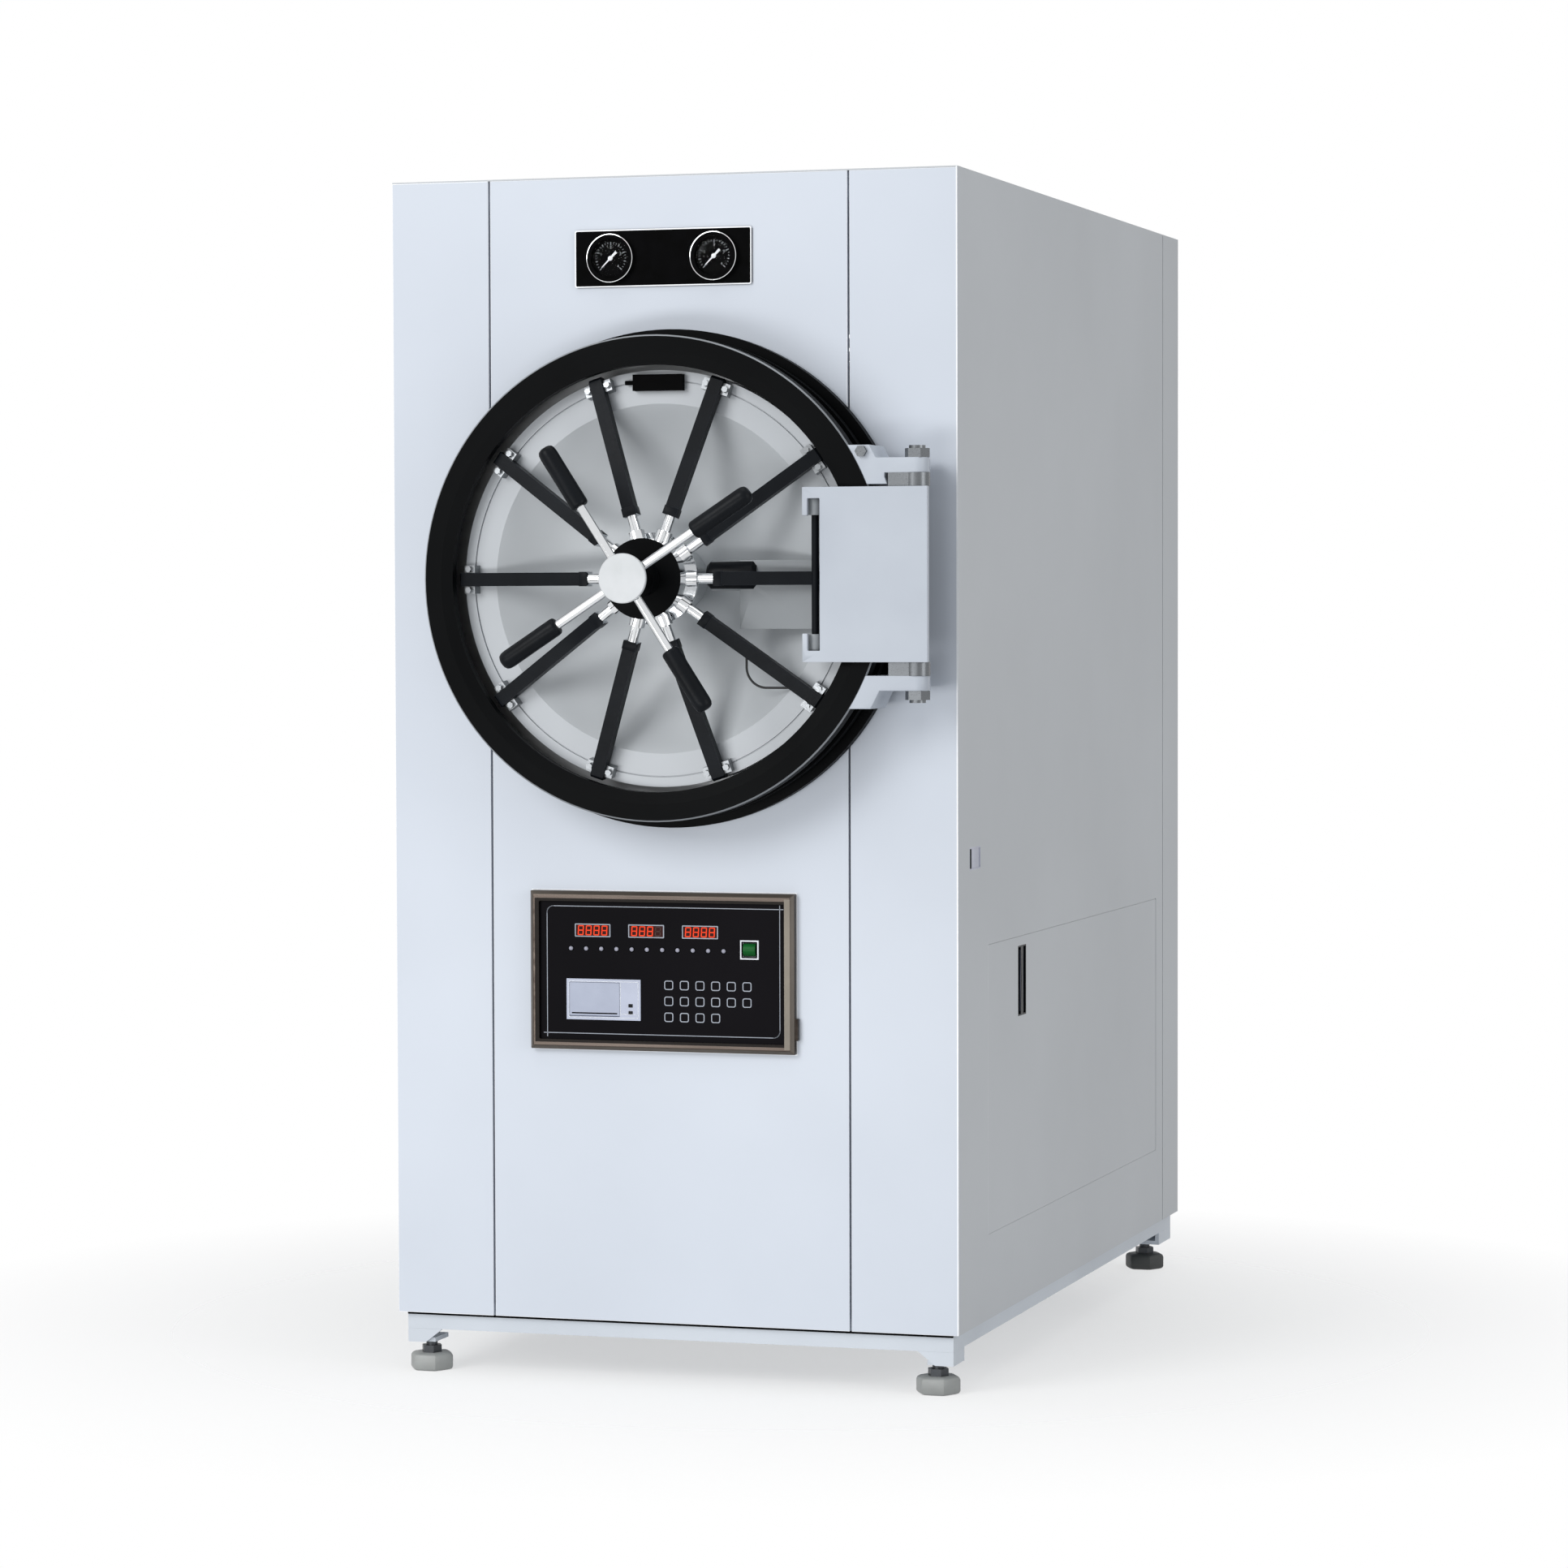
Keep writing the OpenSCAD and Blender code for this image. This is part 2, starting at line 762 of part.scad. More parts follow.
module control_frame() placed() color("silver") at_board(0, 0) {
    side = board_reach - bevel_w;
    difference() {
        intersection() {
            rotate([90, 0, 90]) translate([0, 0, -board_w / 2]) linear_extrude(board_w)
                polygon([[0, -board_h / 2], [0, board_h / 2], [-side, board_h / 2],
                    [-board_reach, board_h / 2 - bevel_w], [-board_reach, -board_h / 2 + bevel_w],
                    [-side, -board_h / 2]]);
            translate([0, 0, -board_h / 2]) linear_extrude(board_h)
                polygon([[-board_w / 2, 0], [board_w / 2, 0], [board_w / 2, -side],
                    [board_w / 2 - bevel_w, -board_reach], [-board_w / 2 + bevel_w, -board_reach],
                    [-board_w / 2, -side]]);
        }
        front_box(film_w, film_h, board_reach + over, -over);
    }
    translate([board_w / 2 + tab_w / 2, 0, tab_h / 2 - tab_drop]) front_box(tab_w, tab_h, tab_t, 0);
}

module control_board() placed() color("black") at_board(0, 0) {
    difference() {
        front_box(film_w, film_h, board_front, board_front - board_t);
        for (i = [0:2]) translate([display_u + i * display_pitch, 0, display_v])
            front_box(display_w, display_h, board_front + over, 0);
        for (i = [0:lamp_count - 1]) translate([lamp_u + i * lamp_pitch, 0, lamp_v])
            rod_y(lamp_r + fit_gap, board_front + over, 0);
        translate([switch_u, 0, switch_v]) front_box(switch_w, switch_w, board_front + over, 0);
        translate([printer_u, 0, printer_v]) front_box(printer_w, printer_h, board_front + over, 0);
    }
    for (row = [0:len(key_rows) - 1], i = [0:key_rows[row] - 1])
        translate([key_u + i * key_pitch, 0, key_v - row * key_drop])
            front_plate(board_front + key_proud, board_front) difference() {
                cut_outline(key_w, key_w, key_cut);
                cut_outline(key_w - 2 * key_line, key_w - 2 * key_line, key_cut - key_line / 2);
            }
}

module display_windows() placed() color("darkred") at_board(0, 0)
    for (i = [0:2]) translate([display_u + i * display_pitch, 0, display_v])
        front_box(display_w, display_h, board_front + display_proud, board_front - board_t);

module indicator_lamps() placed() color("tomato") at_board(0, 0)
    for (i = [0:lamp_count - 1]) translate([lamp_u + i * lamp_pitch, 0, lamp_v])
        rod_y(lamp_r, board_front + lamp_proud, board_front - board_t);

module switch_bezel() placed() color("white") at_board(switch_u, switch_v) difference() {
    front_box(switch_w, switch_w, board_front + switch_proud, -switch_deep);
    front_box(rocker_w + 2 * rocker_room, rocker_w + 2 * rocker_room,
        board_front + switch_proud + over, -switch_deep + sheet);
    translate([0, -rocker_pivot, 0]) rotate([0, 90, 0])
        cylinder(r = rocker_pin_r + running_gap, h = rocker_w + 2 * rocker_room + 2 * rocker_pin_l,
            center = true);
}

module power_rocker() placed() color("green") at_board(switch_u, switch_v) translate([0, -rocker_pivot, 0]) {
    intersection() {
        front_box(rocker_w, rocker_w, rocker_crown + over, -rocker_back);
        rotate([0, 90, 0]) cylinder(r = rocker_crown, h = rocker_w + over, center = true);
    }
    rotate([0, 90, 0])
        cylinder(r = rocker_pin_r, h = rocker_w + 2 * rocker_room + rocker_pin_l, center = true);
}

module printer_body() placed() color("lightsteelblue") at_board(printer_u, printer_v) difference() {
    front = board_front + printer_proud;
    front_box(printer_w, printer_h, front, -printer_deep);
    translate([cover_u, 0, 0])
        front_box(cover_w + 2 * cover_gap, cover_h + 2 * cover_gap, front + over, front - paper_bay);
    translate([cover_u, -front + cover_t / 2, -cover_h / 2 + cover_t / 2]) rotate([0, 90, 0])
        cylinder(r = cover_pin_r + running_gap, h = cover_w + 2 * cover_pin_l + 2 * cover_gap, center = true);
    for (i = [0, 1]) translate([button_u, 0, -button_v - i * button_pitch])
        front_box(button_w + 2 * fit_gap, button_h + 2 * fit_gap, front + over, front - button_room);
}

module printer_door() placed() color("lavender") at_board(printer_u + cover_u, printer_v)
    translate([0, -board_front - printer_proud + cover_t / 2, -cover_h / 2 + cover_t / 2]) {
        translate([-cover_w / 2, -cover_t / 2, 0]) cube([cover_w, cover_t, cover_h - cover_t / 2]);
        rotate([0, 90, 0]) cylinder(r = cover_t / 2, h = cover_w, center = true);
        rotate([0, 90, 0]) cylinder(r = cover_pin_r, h = cover_w + 2 * cover_pin_l, center = true);
    }

module printer_button(i) placed() color("black")
    at_board(printer_u + button_u, printer_v - button_v - i * button_pitch)
        front_box(button_w, button_h, board_front + printer_proud + button_proud,
            board_front + printer_proud - button_deep);
module printer_button_upper() printer_button(0);
module printer_button_lower() printer_button(1);

// Pressure vessel with its ribs, dished rear head and front flange
module chamber() {
    color("silver") on_axis() rotate([-90, 0, 0]) rotate_extrude($fn = 144) {
        translate([chamber_r, -seat_reach]) square([shell_t, chamber_l + seat_reach]);
        translate([chamber_r, -seat_reach])
            square([pocket_r - fit_gap - chamber_r, seat_reach + flange_back]);
        for (share = rib_shares) translate([chamber_r, chamber_l * share])
            square([rib_r - chamber_r, rib_t]);
        difference() {
            intersection() {
                translate([0, head_y]) circle(r = head_r + shell_t, $fn = 180);
                translate([0, chamber_l - over]) square([chamber_r + shell_t, head_depth + 2 * shell_t]);
            }
            translate([0, head_y]) circle(r = head_r, $fn = 180);
        }
    }
    color("silver") placed() translate([axis_x, nozzle_y, axis_z - blanket_r - nozzle_out]) {
        cylinder(r = nozzle_r, h = blanket_r + nozzle_out - chamber_r - shell_t / 2);
        cylinder(r = nozzle_flange_r, h = nut_h);
    }
}

module insulation() color("khaki") on_axis() difference() {
    rod_y(blanket_r, -blanket_front, -blanket_back);
    rod_y(blanket_in, -blanket_front + over, -blanket_back - over);
    translate([0, nozzle_y, -blanket_r - over]) cylinder(r = nozzle_r + fit_gap, h = blanket_r);
}

module door_ring() color("dimgray") on_axis() rotate([-90, 0, 0]) rotate_extrude($fn = 144)
    polygon([[pocket_r, 0], [ring_rear_r - rim_cut, 0], [ring_rear_r, -rim_cut],
        [ring_rear_r, -rear_flange_t], [ring_body_r, -rear_flange_t], [ring_body_r, -bead_back],
        [ring_r, -bead_back], [ring_r, -bead_front], [ring_body_r, -bead_front],
        [ring_body_r, front_flange_t - ring_front], [ring_r, front_flange_t - ring_front],
        [ring_r, rim_cut - ring_front], [ring_r - rim_cut, -ring_front], [crease_r, -ring_front],
        [lip_r, ring_step - ring_front], [lip_r, lip_t - ring_front], [pocket_r, lip_t - ring_front]]);

// Lugs that carry the outer hinge pin, with webs that follow the ring
module hinge_lugs() color("dimgray") difference() {
    union() {
        placed() translate([0, 0, hinge_z]) for (z = [lug_z, -lug_z - lug_t]) translate([0, 0, z]) {
            block([lug_root, -lug_reach, 0], [pin_x - lug_root, lug_reach - lug_back, lug_t]);
            translate([pin_x, -pin_reach, 0]) cylinder(r = lug_end, h = lug_t);
        }
        placed() block([lug_root, -lug_reach, hinge_z + lug_z - pad_t],
            [pad_end - lug_root, lug_reach - lug_back, pad_t + over]);
        placed() translate([0, 0, hinge_z]) for (span = [[lug_z - pad_t, web_high], [-web_low, -lug_z]])
            intersection() {
                translate([axis_x, 0, -hinge_up]) rod_y(ring_r + web_t, lug_reach, web_back);
                block([lug_root / 2, -lug_reach, span[0]], [lug_root, lug_reach, span[1] - span[0]]);
            }
    }
    on_axis() rod_y(ring_r + fit_gap, lug_reach + over, 0);
    placed() translate([pin_x, -pin_reach, 0]) cylinder(r = pin_r + fit_gap, h = cab_h);
}

module at_pin() placed() translate([pin_x, -pin_reach, hinge_z]) children();

module hinge_pin() color("silver") at_pin() translate([0, 0, -pin_half])
    cylinder(r = pin_r, h = 2 * pin_half);

module hinge_hardware() color("silver") {
    at_pin() for (turn = [0, 1]) mirror([0, 0, turn]) {
        difference() {
            translate([0, 0, lug_z + lug_t]) cylinder(r = hinge_nut_r, h = hinge_nut_h, $fn = hex);
            cylinder(r = pin_r + fit_gap, h = pin_half);
        }
        translate([0, 0, link_h / 2 + washer_play]) difference() {
            union() {
                cylinder(r = washer_r, h = washer_gap - washer_play);
                block([thrust_x - pin_x, -thrust_w / 2, 0],
                    [pin_x - thrust_x, thrust_w, washer_gap - washer_play]);
            }
            translate([0, 0, -over]) cylinder(r = pin_r + fit_gap, h = washer_gap + 2 * over);
        }
    }
    placed() translate([lug_bolt_x, -lug_reach, hinge_z + web_high - web_rise / 2]) rotate([90, 0, 0])
        cylinder(r = lug_bolt_r, h = lug_bolt_h, $fn = hex);
}

module side_latch() placed() color("lavender") difference() {
    block([cab_w / 2 - latch_t, latch_y - latch_w / 2, latch_z - latch_h / 2], [latch_t, latch_w, latch_h]);
    block([cab_w / 2 - latch_dent, latch_y - latch_w / 2 + sheet, latch_z - latch_h / 2 + sheet],
        [latch_t, latch_slot, latch_h - 2 * sheet]);
    block([cab_w / 2 - sheet / 2, latch_y - latch_w / 2 + 2 * sheet + latch_slot,
        latch_z - latch_h / 2 + sheet], [latch_t, latch_w - latch_slot - 3 * sheet, latch_h - 2 * sheet]);
}

module steam_generator() placed() color("silver") translate([axis_x, nozzle_y, 0]) {
    top = boiler_z + boiler_h;
    pipe_top = axis_z - blanket_r - nozzle_out;
    translate([0, 0, boiler_z]) cylinder(r = boiler_r, h = boiler_h);
    translate([0, 0, top]) cylinder(r = boiler_r - boiler_head / 2, h = boiler_head);
    translate([0, 0, top]) cylinder(r = nozzle_r, h = pipe_top - top);
    translate([0, 0, pipe_top - nut_h]) cylinder(r = nozzle_flange_r, h = nut_h);
    for (x = [-boiler_leg_x, boiler_leg_x], y = [-boiler_leg_x, boiler_leg_x])
        translate([x - boiler_leg / 2, y - boiler_leg / 2, rail_top])
            cube([boiler_leg, boiler_leg, boiler_z + over - rail_top]);
}

module water_pump() placed() color("steelblue") translate([pump_x, pump_y, rail_top + pump_foot + pump_r]) {
    rod_y(pump_r, 0, -pump_l);
    rod_y(pump_r + pump_foot / 2, pump_head_l, 0);
    translate([0, -pump_head_l / 2, 0]) cylinder(r = pump_port_r, h = pump_head_r + pump_port_h);
    block([-pump_foot_w / 2, pump_foot, -pump_r - pump_foot],
        [pump_foot_w, pump_l - 2 * pump_foot, 2 * pump_foot]);
}

module side_door() placed() color("lightsteelblue") {
    y = service_front + door_gap;
    z = service_z + door_gap;
    l = service_l - door_gap - pivot_gap;
    h = service_h - 2 * door_gap;
    difference() {
        union() {
            block([cab_w / 2 - sheet, y, z], [sheet, l, h]);
            for (edge = [y, y + l - sheet])
                block([cab_w / 2 - service_fold, edge, z], [service_fold, sheet, h]);
            for (edge = [z, z + h - sheet])
                block([cab_w / 2 - service_fold, y, edge], [service_fold, l, sheet]);
        }
        block([cab_w / 2 - 2 * sheet, service_front + pull_y - pull_w / 2, pull_z - pull_h / 2],
            [4 * sheet, pull_w, pull_h]);
    }
    for (end = [z - pivot_l, z + h - over]) translate([pivot_x, pivot_y, end])
        cylinder(r = pivot_r, h = pivot_l + over);
}

module side_pull() placed() color("black") translate([cab_w / 2, service_front + pull_y, pull_z]) {
    difference() {
        block([-pull_depth, -pull_w / 2, -pull_h / 2], [pull_depth, pull_w, pull_h]);
        block([-pull_depth + pull_wall, pull_wall - pull_w / 2, pull_wall - pull_h / 2],
            [pull_depth, pull_w - 2 * pull_wall, pull_h - 2 * pull_wall]);
    }
    translate([-pull_depth / 2, 0, 0]) rotate([90, 0, 90]) linear_extrude(pull_depth / 2)
        polygon([[-pull_grip / 2, -pull_h / 2 + over], [pull_grip / 2, -pull_h / 2 + over],
            [pull_grip / 2 - pull_waist, 0], [pull_grip / 2, pull_h / 2 - over],
            [-pull_grip / 2, pull_h / 2 - over], [pull_waist - pull_grip / 2, 0]]);
}

// Slotted hinge plate with its barrel on the outer pin and its two knuckles
module hinge_link() placed() color("dimgray") translate([0, 0, hinge_z]) difference() {
    union() {
        difference() {
            block([link_x, -link_front, -link_h / 2], [link_w, link_t, link_h]);
            block([link_x + slot_offset, -link_front - over, slot_margin - link_h / 2],
                [slot_w, link_t + 2 * over, link_h - 2 * slot_margin]);
            block([link_x - over, -link_front - over, open_margin - link_h / 2],
                [slot_offset + 2 * over, link_t + 2 * over, link_h - 2 * open_margin]);
        }
        for (z = [-link_h / 2, link_h / 2 - knuckle_h])
            block([link_x, -link_front + link_t / 2, z], [inner_x - link_x + knuckle_w / 2,
                link_front - link_t / 2 - inner_reach + ear_r, knuckle_h]);
        translate([pin_x, -pin_reach, -link_h / 2]) cylinder(r = barrel_r, h = link_h);
    }
    translate([0, 0, -link_h / 2 - over]) {
        translate([pin_x, -pin_reach, 0]) cylinder(r = pin_r + running_gap, h = link_h + 2 * over);
        translate([inner_x, -inner_reach, 0]) cylinder(r = inner_r + running_gap, h = link_h + 2 * over);
    }
}

module inner_hinge_pin() placed() color("gray") translate([inner_x, -inner_reach, hinge_z - link_h / 2])
    cylinder(r = inner_r, h = link_h);

// Arm that carries the door from its hub to the inner pin
module hinge_arm() placed() color("dimgray") translate([0, 0, hinge_z]) difference() {
    back = door_front + plate_gap;
    front = back + arm_plate_t;
    ear_z = link_h / 2 - knuckle_h - ear_gap;
    union() {
        difference() {
            union() {
                block([arm_plate_x, -front, -arm_plate_low],
                    [arm_plate_end - arm_plate_x, arm_plate_t, arm_plate_low + arm_plate_top]);
                block([arm_notch_x, -front, -ear_z], [arm_plate_end - arm_notch_x, arm_plate_t, 2 * ear_z]);
            }
            block([arm_notch_x, -front - over, -arm_notch / 2],
                [arm_notch_x, arm_plate_t + 2 * over, arm_notch]);
        }
        for (z = [-ear_z, ear_z - ear_h]) {
            translate([inner_x, -inner_reach, z]) cylinder(r = ear_r, h = ear_h);
            block([inner_x - ear_w / 2, -inner_reach, z], [ear_w, inner_reach - back, ear_h]);
        }
        translate([0, -neck_reach, 0]) rotate([0, 90, 0]) {
            translate([0, 0, axis_x + boss_r + fit_gap])
                cylinder(r = neck_r, h = arm_plate_x + neck_r - axis_x - boss_r);
            translate([0, 0, sleeve_x]) rotate_extrude() polygon([[0, 0], [sleeve_r - sleeve_round, 0],
                [sleeve_r, sleeve_round], [sleeve_r, sleeve_l - sleeve_round],
                [sleeve_r - sleeve_round, sleeve_l], [0, sleeve_l]]);
        }
    }
    translate([inner_x, -inner_reach, -link_h]) cylinder(r = inner_r + running_gap, h = 2 * link_h);
}

// Door with its dish, hub boss and gasket groove
module door_plate() color("silver") on_axis() rotate([-90, 0, 0]) rotate_extrude($fn = 144) {
    difference() {
        union() {
            translate([0, -door_front]) square([door_r, rim_t]);
            intersection() {
                translate([0, dish_y]) circle(r = dish_sphere + dish_t, $fn = 240);
                translate([0, -door_front]) square([dish_r + dish_t, dish_depth + dish_t]);
            }
        }
        intersection() {
            translate([0, dish_y]) circle(r = dish_sphere, $fn = 240);
            translate([-over, -door_front - over]) square([dish_r + over, dish_depth + over + dish_t]);
        }
        translate([groove_r, -door_front - over]) square([groove_w, groove_depth + over]);
        translate([gasket_r - gasket_w / 2 - fit_gap, rim_t - door_front - gasket_sunk])
            square([gasket_w + 2 * fit_gap, gasket_sunk + over]);
    }
    translate([0, -hub_back]) square([boss_r, hub_back - door_front + dish_depth + dish_t / 2]);
}

module door_gasket() color("black") on_axis() difference() {
    rod_y(gasket_r + gasket_w / 2, door_front - rim_t + gasket_sunk, door_front - rim_t - gasket_proud);
    rod_y(gasket_r - gasket_w / 2, door_front, 0);
}

module hub_housing() color("black") difference() {
    union() {
        on_axis() rod_y(hub_r, hub_front, hub_back);
        on_axis() rod_y(hub_neck_r, hub_front + hub_neck, hub_front - over);
        for (i = [0:arm_count - 1]) along_arm(i) translate([along(hub_room_r + over), 0, 0])
            rotate([0, 90, 0]) cylinder(r = hub_boss_r, h = along(hub_boss_end - hub_room_r - over));
    }
    on_axis() rod_y(hub_room_r, hub_front - hub_wall, hub_back - over);
    on_axis() rod_y(spindle_r + running_gap, hub_front + hub_neck + over, hub_back);
    for (i = [0:arm_count - 1]) along_arm(i) translate([rod_start, 0, 0]) rotate([0, 90, 0])
        cylinder(r = slide_r + fit_gap, h = along(hub_boss_end));
}

module hub_ring() color("silver") on_axis() difference() {
    rod_y(hub_ring_r, hub_back, hub_back - hub_ring_t);
    rod_y(boss_r + fit_gap, hub_front, 0);
}

// Brackets that guide the bars on the door's rim, one on each side of a bar
module arm_guides() color("silver") difference() {
    union() for (i = [0:arm_count - 1]) along_arm(i) translate([along(guide_r) - guide_l / 2, 0, 0])
        for (turn = [0, 1]) mirror([0, 0, turn]) {
            side = arm_w / 2 + slide_gap;
            block([0, -guide_top, side], [guide_l, guide_top + arm_t, guide_side]);
            translate([guide_l / 2, -guide_top, side + guide_side / 2]) rotate([90, 0, 0])
                cylinder(r = guide_bolt_r, h = guide_bolt_h, $fn = hex);
        }
    placed() block([-cab_w, -door_front, 0], [2 * cab_w, 2 * door_front, 2 * cab_h]);
}

module interlock_switch() color("black") on_axis() {
    block([-switch_l / 2, -door_front - switch_t, switch_r], [switch_l, switch_t, switch_h]);
    translate([-switch_l / 2 - plunger_l, -door_front - switch_t / 2, switch_r + switch_h / 2])
        rotate([0, 90, 0]) cylinder(r = plunger_r, h = plunger_l + over);
}

module switch_cable() color("black") on_axis() translate([0, -cable_reach, 0]) {
    bend_x = cable_x + cable_bend;
    bend_z = cable_low + cable_bend;
    translate([cable_x, 0, bend_z]) cylinder(r = cable_r, h = cable_top - bend_z);
    translate([bend_x, 0, cable_low]) rotate([0, 90, 0]) cylinder(r = cable_r, h = cable_end - bend_x);
    translate([bend_x, 0, bend_z]) rotate([90, 0, 0]) rotate([0, 0, 180]) rotate_extrude(angle = 90)
        translate([cable_bend, 0]) circle(r = cable_r);
}

// One locking arm: sliding rod, collar and square bar with a chamfered tip
module locking_arm(i) color("dimgray") along_arm(i) {
    start = along(bar_r);
    end = along(tip_r);
    translate([along(rod_start), 0, 0]) rotate([0, 90, 0])
        cylinder(r = slide_r, h = start - along(rod_start) + over);
    translate([0, 0, -arm_w / 2]) linear_extrude(arm_w)
        polygon([[start, -arm_t / 2], [end - tip_cut, -arm_t / 2], [end, tip_cut - arm_t / 2],
            [end, arm_t / 2], [start, arm_t / 2]]);
    translate([start, -arm_t / 2 - collar_more, -arm_w / 2 - collar_more])
        cube([collar_l, arm_t + 2 * collar_more, arm_w + 2 * collar_more]);
}
module locking_arm_01() locking_arm(0);
module locking_arm_02() locking_arm(1);
module locking_arm_03() locking_arm(2);
module locking_arm_04() locking_arm(3);
module locking_arm_05() locking_arm(4);
module locking_arm_06() locking_arm(5);
module locking_arm_07() locking_arm(6);
module locking_arm_08() locking_arm(7);
module locking_arm_09() locking_arm(8);
module locking_arm_10() locking_arm(9);

module handwheel_spindle() color("silver") on_axis() {
    rod_y(spindle_r, wheel_reach - cap_t, spindle_in);
    rod_y(cam_r, spindle_in + cam_t, spindle_in);
}

module handwheel_cap() color("whitesmoke") on_axis() rotate([-90, 0, 0]) rotate_extrude()
    polygon([[0, cap_t - wheel_reach], [0, -wheel_reach], [cap_r - rim_cut / 2, -wheel_reach],
        [cap_r, rim_cut / 2 - wheel_reach], [cap_r, cap_t - wheel_reach]]);

module at_handles() on_axis() translate([0, handle_plane + cap_t - wheel_reach, 0])
    for (i = [0:handle_count - 1]) rotate([0, -handle_turn - i * handle_step, 0]) rotate([0, 90, 0])
        children();

module handwheel_rods() color("silver") difference() {
    union() {
        on_axis() rod_y(wheel_hub_r, wheel_reach - cap_t, wheel_reach - cap_t - wheel_hub_t);
        at_handles() translate([0, 0, handle_root])
            cylinder(r = handle_rod_r, h = handle_l - grip_l + rod_in_grip - handle_root);
    }
    on_axis() rod_y(spindle_r + fit_gap, wheel_reach, spindle_in);
}

module handwheel_grips() color("black") at_handles() translate([0, 0, handle_l - grip_l]) rotate_extrude()
    polygon([[handle_rod_r + fit_gap, 0], [grip_r - rim_cut, 0], [grip_r, rim_cut],
        [grip_r, grip_l - 2 * rim_cut], [grip_r - 2 * rim_cut, grip_l], [0, grip_l],
        [0, rod_in_grip + fit_gap], [handle_rod_r + fit_gap, rod_in_grip + fit_gap]]);

cabinet_frame();
foot_pads();
foot_studs();
front_panel_left();
front_panel_centre();
front_panel_right();
side_panel_left();
side_panel_right();
top_panel();
back_panel();
back_fittings();
gauge_plate();
gauge_cases();
gauge_needle_left();
gauge_needle_right();
control_frame();
control_board();
display_windows();
indicator_lamps();
switch_bezel();
power_rocker();
printer_body();
printer_door();
printer_button_upper();
printer_button_lower();
chamber();
insulation();
door_ring();
hinge_lugs();
hinge_pin();
hinge_hardware();
side_latch();
steam_generator();
water_pump();
side_door();
side_pull();
hinge_link();
inner_hinge_pin();
door_plate();
door_gasket();
hinge_arm();
hub_housing();
hub_ring();
arm_guides();
interlock_switch();
switch_cable();
locking_arm_01();
locking_arm_02();
locking_arm_03();
locking_arm_04();
locking_arm_05();
locking_arm_06();
locking_arm_07();
locking_arm_08();
locking_arm_09();
locking_arm_10();
handwheel_spindle();
handwheel_cap();
handwheel_rods();
handwheel_grips();
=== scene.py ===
import math

import bmesh
import bpy
from mathutils import Matrix, Vector


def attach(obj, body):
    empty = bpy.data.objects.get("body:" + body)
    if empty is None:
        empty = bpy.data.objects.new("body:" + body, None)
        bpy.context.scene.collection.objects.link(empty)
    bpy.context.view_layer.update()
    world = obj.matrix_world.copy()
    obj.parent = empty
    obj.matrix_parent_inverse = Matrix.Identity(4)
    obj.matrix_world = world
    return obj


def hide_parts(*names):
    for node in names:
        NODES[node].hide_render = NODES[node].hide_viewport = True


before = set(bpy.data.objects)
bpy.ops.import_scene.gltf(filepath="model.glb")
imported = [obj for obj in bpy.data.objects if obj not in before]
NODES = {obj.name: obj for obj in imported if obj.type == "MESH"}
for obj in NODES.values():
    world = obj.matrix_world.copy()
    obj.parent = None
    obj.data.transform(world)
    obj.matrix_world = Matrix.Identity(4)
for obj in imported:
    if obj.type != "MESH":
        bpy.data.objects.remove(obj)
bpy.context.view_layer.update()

# Driving sizes in mm, the same as in the part's source
CAB_W = 808.0
CAB_D = 1360.0
CAB_H = 1650.0
SKIRT_Z = 83.0
FRAME_INSET = 10.0
FITTING_REACH = 35.0
WHEEL_REACH = 215.0
AXIS_X = 4.0
AXIS_DROP = 548.5
AXIS_Z = CAB_H - AXIS_DROP
SIDE_X = CAB_W / 2
MID_Y = (CAB_D + FITTING_REACH - WHEEL_REACH) / 2


def point(x, y, z):
    """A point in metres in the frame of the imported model, from mm with y = 0 at the front panels."""
    return Vector((x / 1000, (y - MID_Y) / 1000, z / 1000))


def add_object(name, data):
    """A new object in the scene."""
    made = bpy.data.objects.new(name, data)
    bpy.context.scene.collection.objects.link(made)
    return made


# Shader nodes
MATERIALS = {}
NOISE_RANGE = (0.3, 0.7)
CLOUD_DETAIL = 4.0
GRAIN_DETAIL = 2.0
RELIEF = 0.0003
GLASS_IOR = 1.06
GLASS_ROUGH = 0.03


def new_node(tree, kind, values=None, links=None):
    """A shader node with some sockets set and some linked to the outputs of other nodes."""
    node = tree.nodes.new("ShaderNode" + kind)
    for key, value in (values or {}).items():
        node.inputs[key].default_value = value
    for key, output in (links or {}).items():
        tree.links.new(output, node.inputs[key])
    return node


def vector_length(tree, vector):
    """The length of a vector, as a node's output."""
    length = new_node(tree, "VectorMath", links={0: vector})
    length.operation = "LENGTH"
    return length.outputs["Value"]


def new_material(name):
    """A new material's node tree and its shader."""
    material = bpy.data.materials.new(name)
    material.use_nodes = True
    MATERIALS[name] = material
    return material.node_tree, material.node_tree.nodes["Principled BSDF"]


def rgb(shade):
    """Linear colour from an sRGB hex string."""
    parts = [int(shade[i:i + 2], 16) / 255 for i in (0, 2, 4)]
    return (*[c / 12.92 if c <= 0.04045 else ((c + 0.055) / 1.055) ** 2.4 for c in parts], 1.0)


def stretched_coords(tree, stretch):
    """Coordinates in the piece's own axes, stretched to draw out a grain."""
    coords = new_node(tree, "TexCoord")
    mapping = new_node(tree, "Mapping", {"Scale": stretch}, {"Vector": coords.outputs["Object"]})
    return mapping.outputs["Vector"]


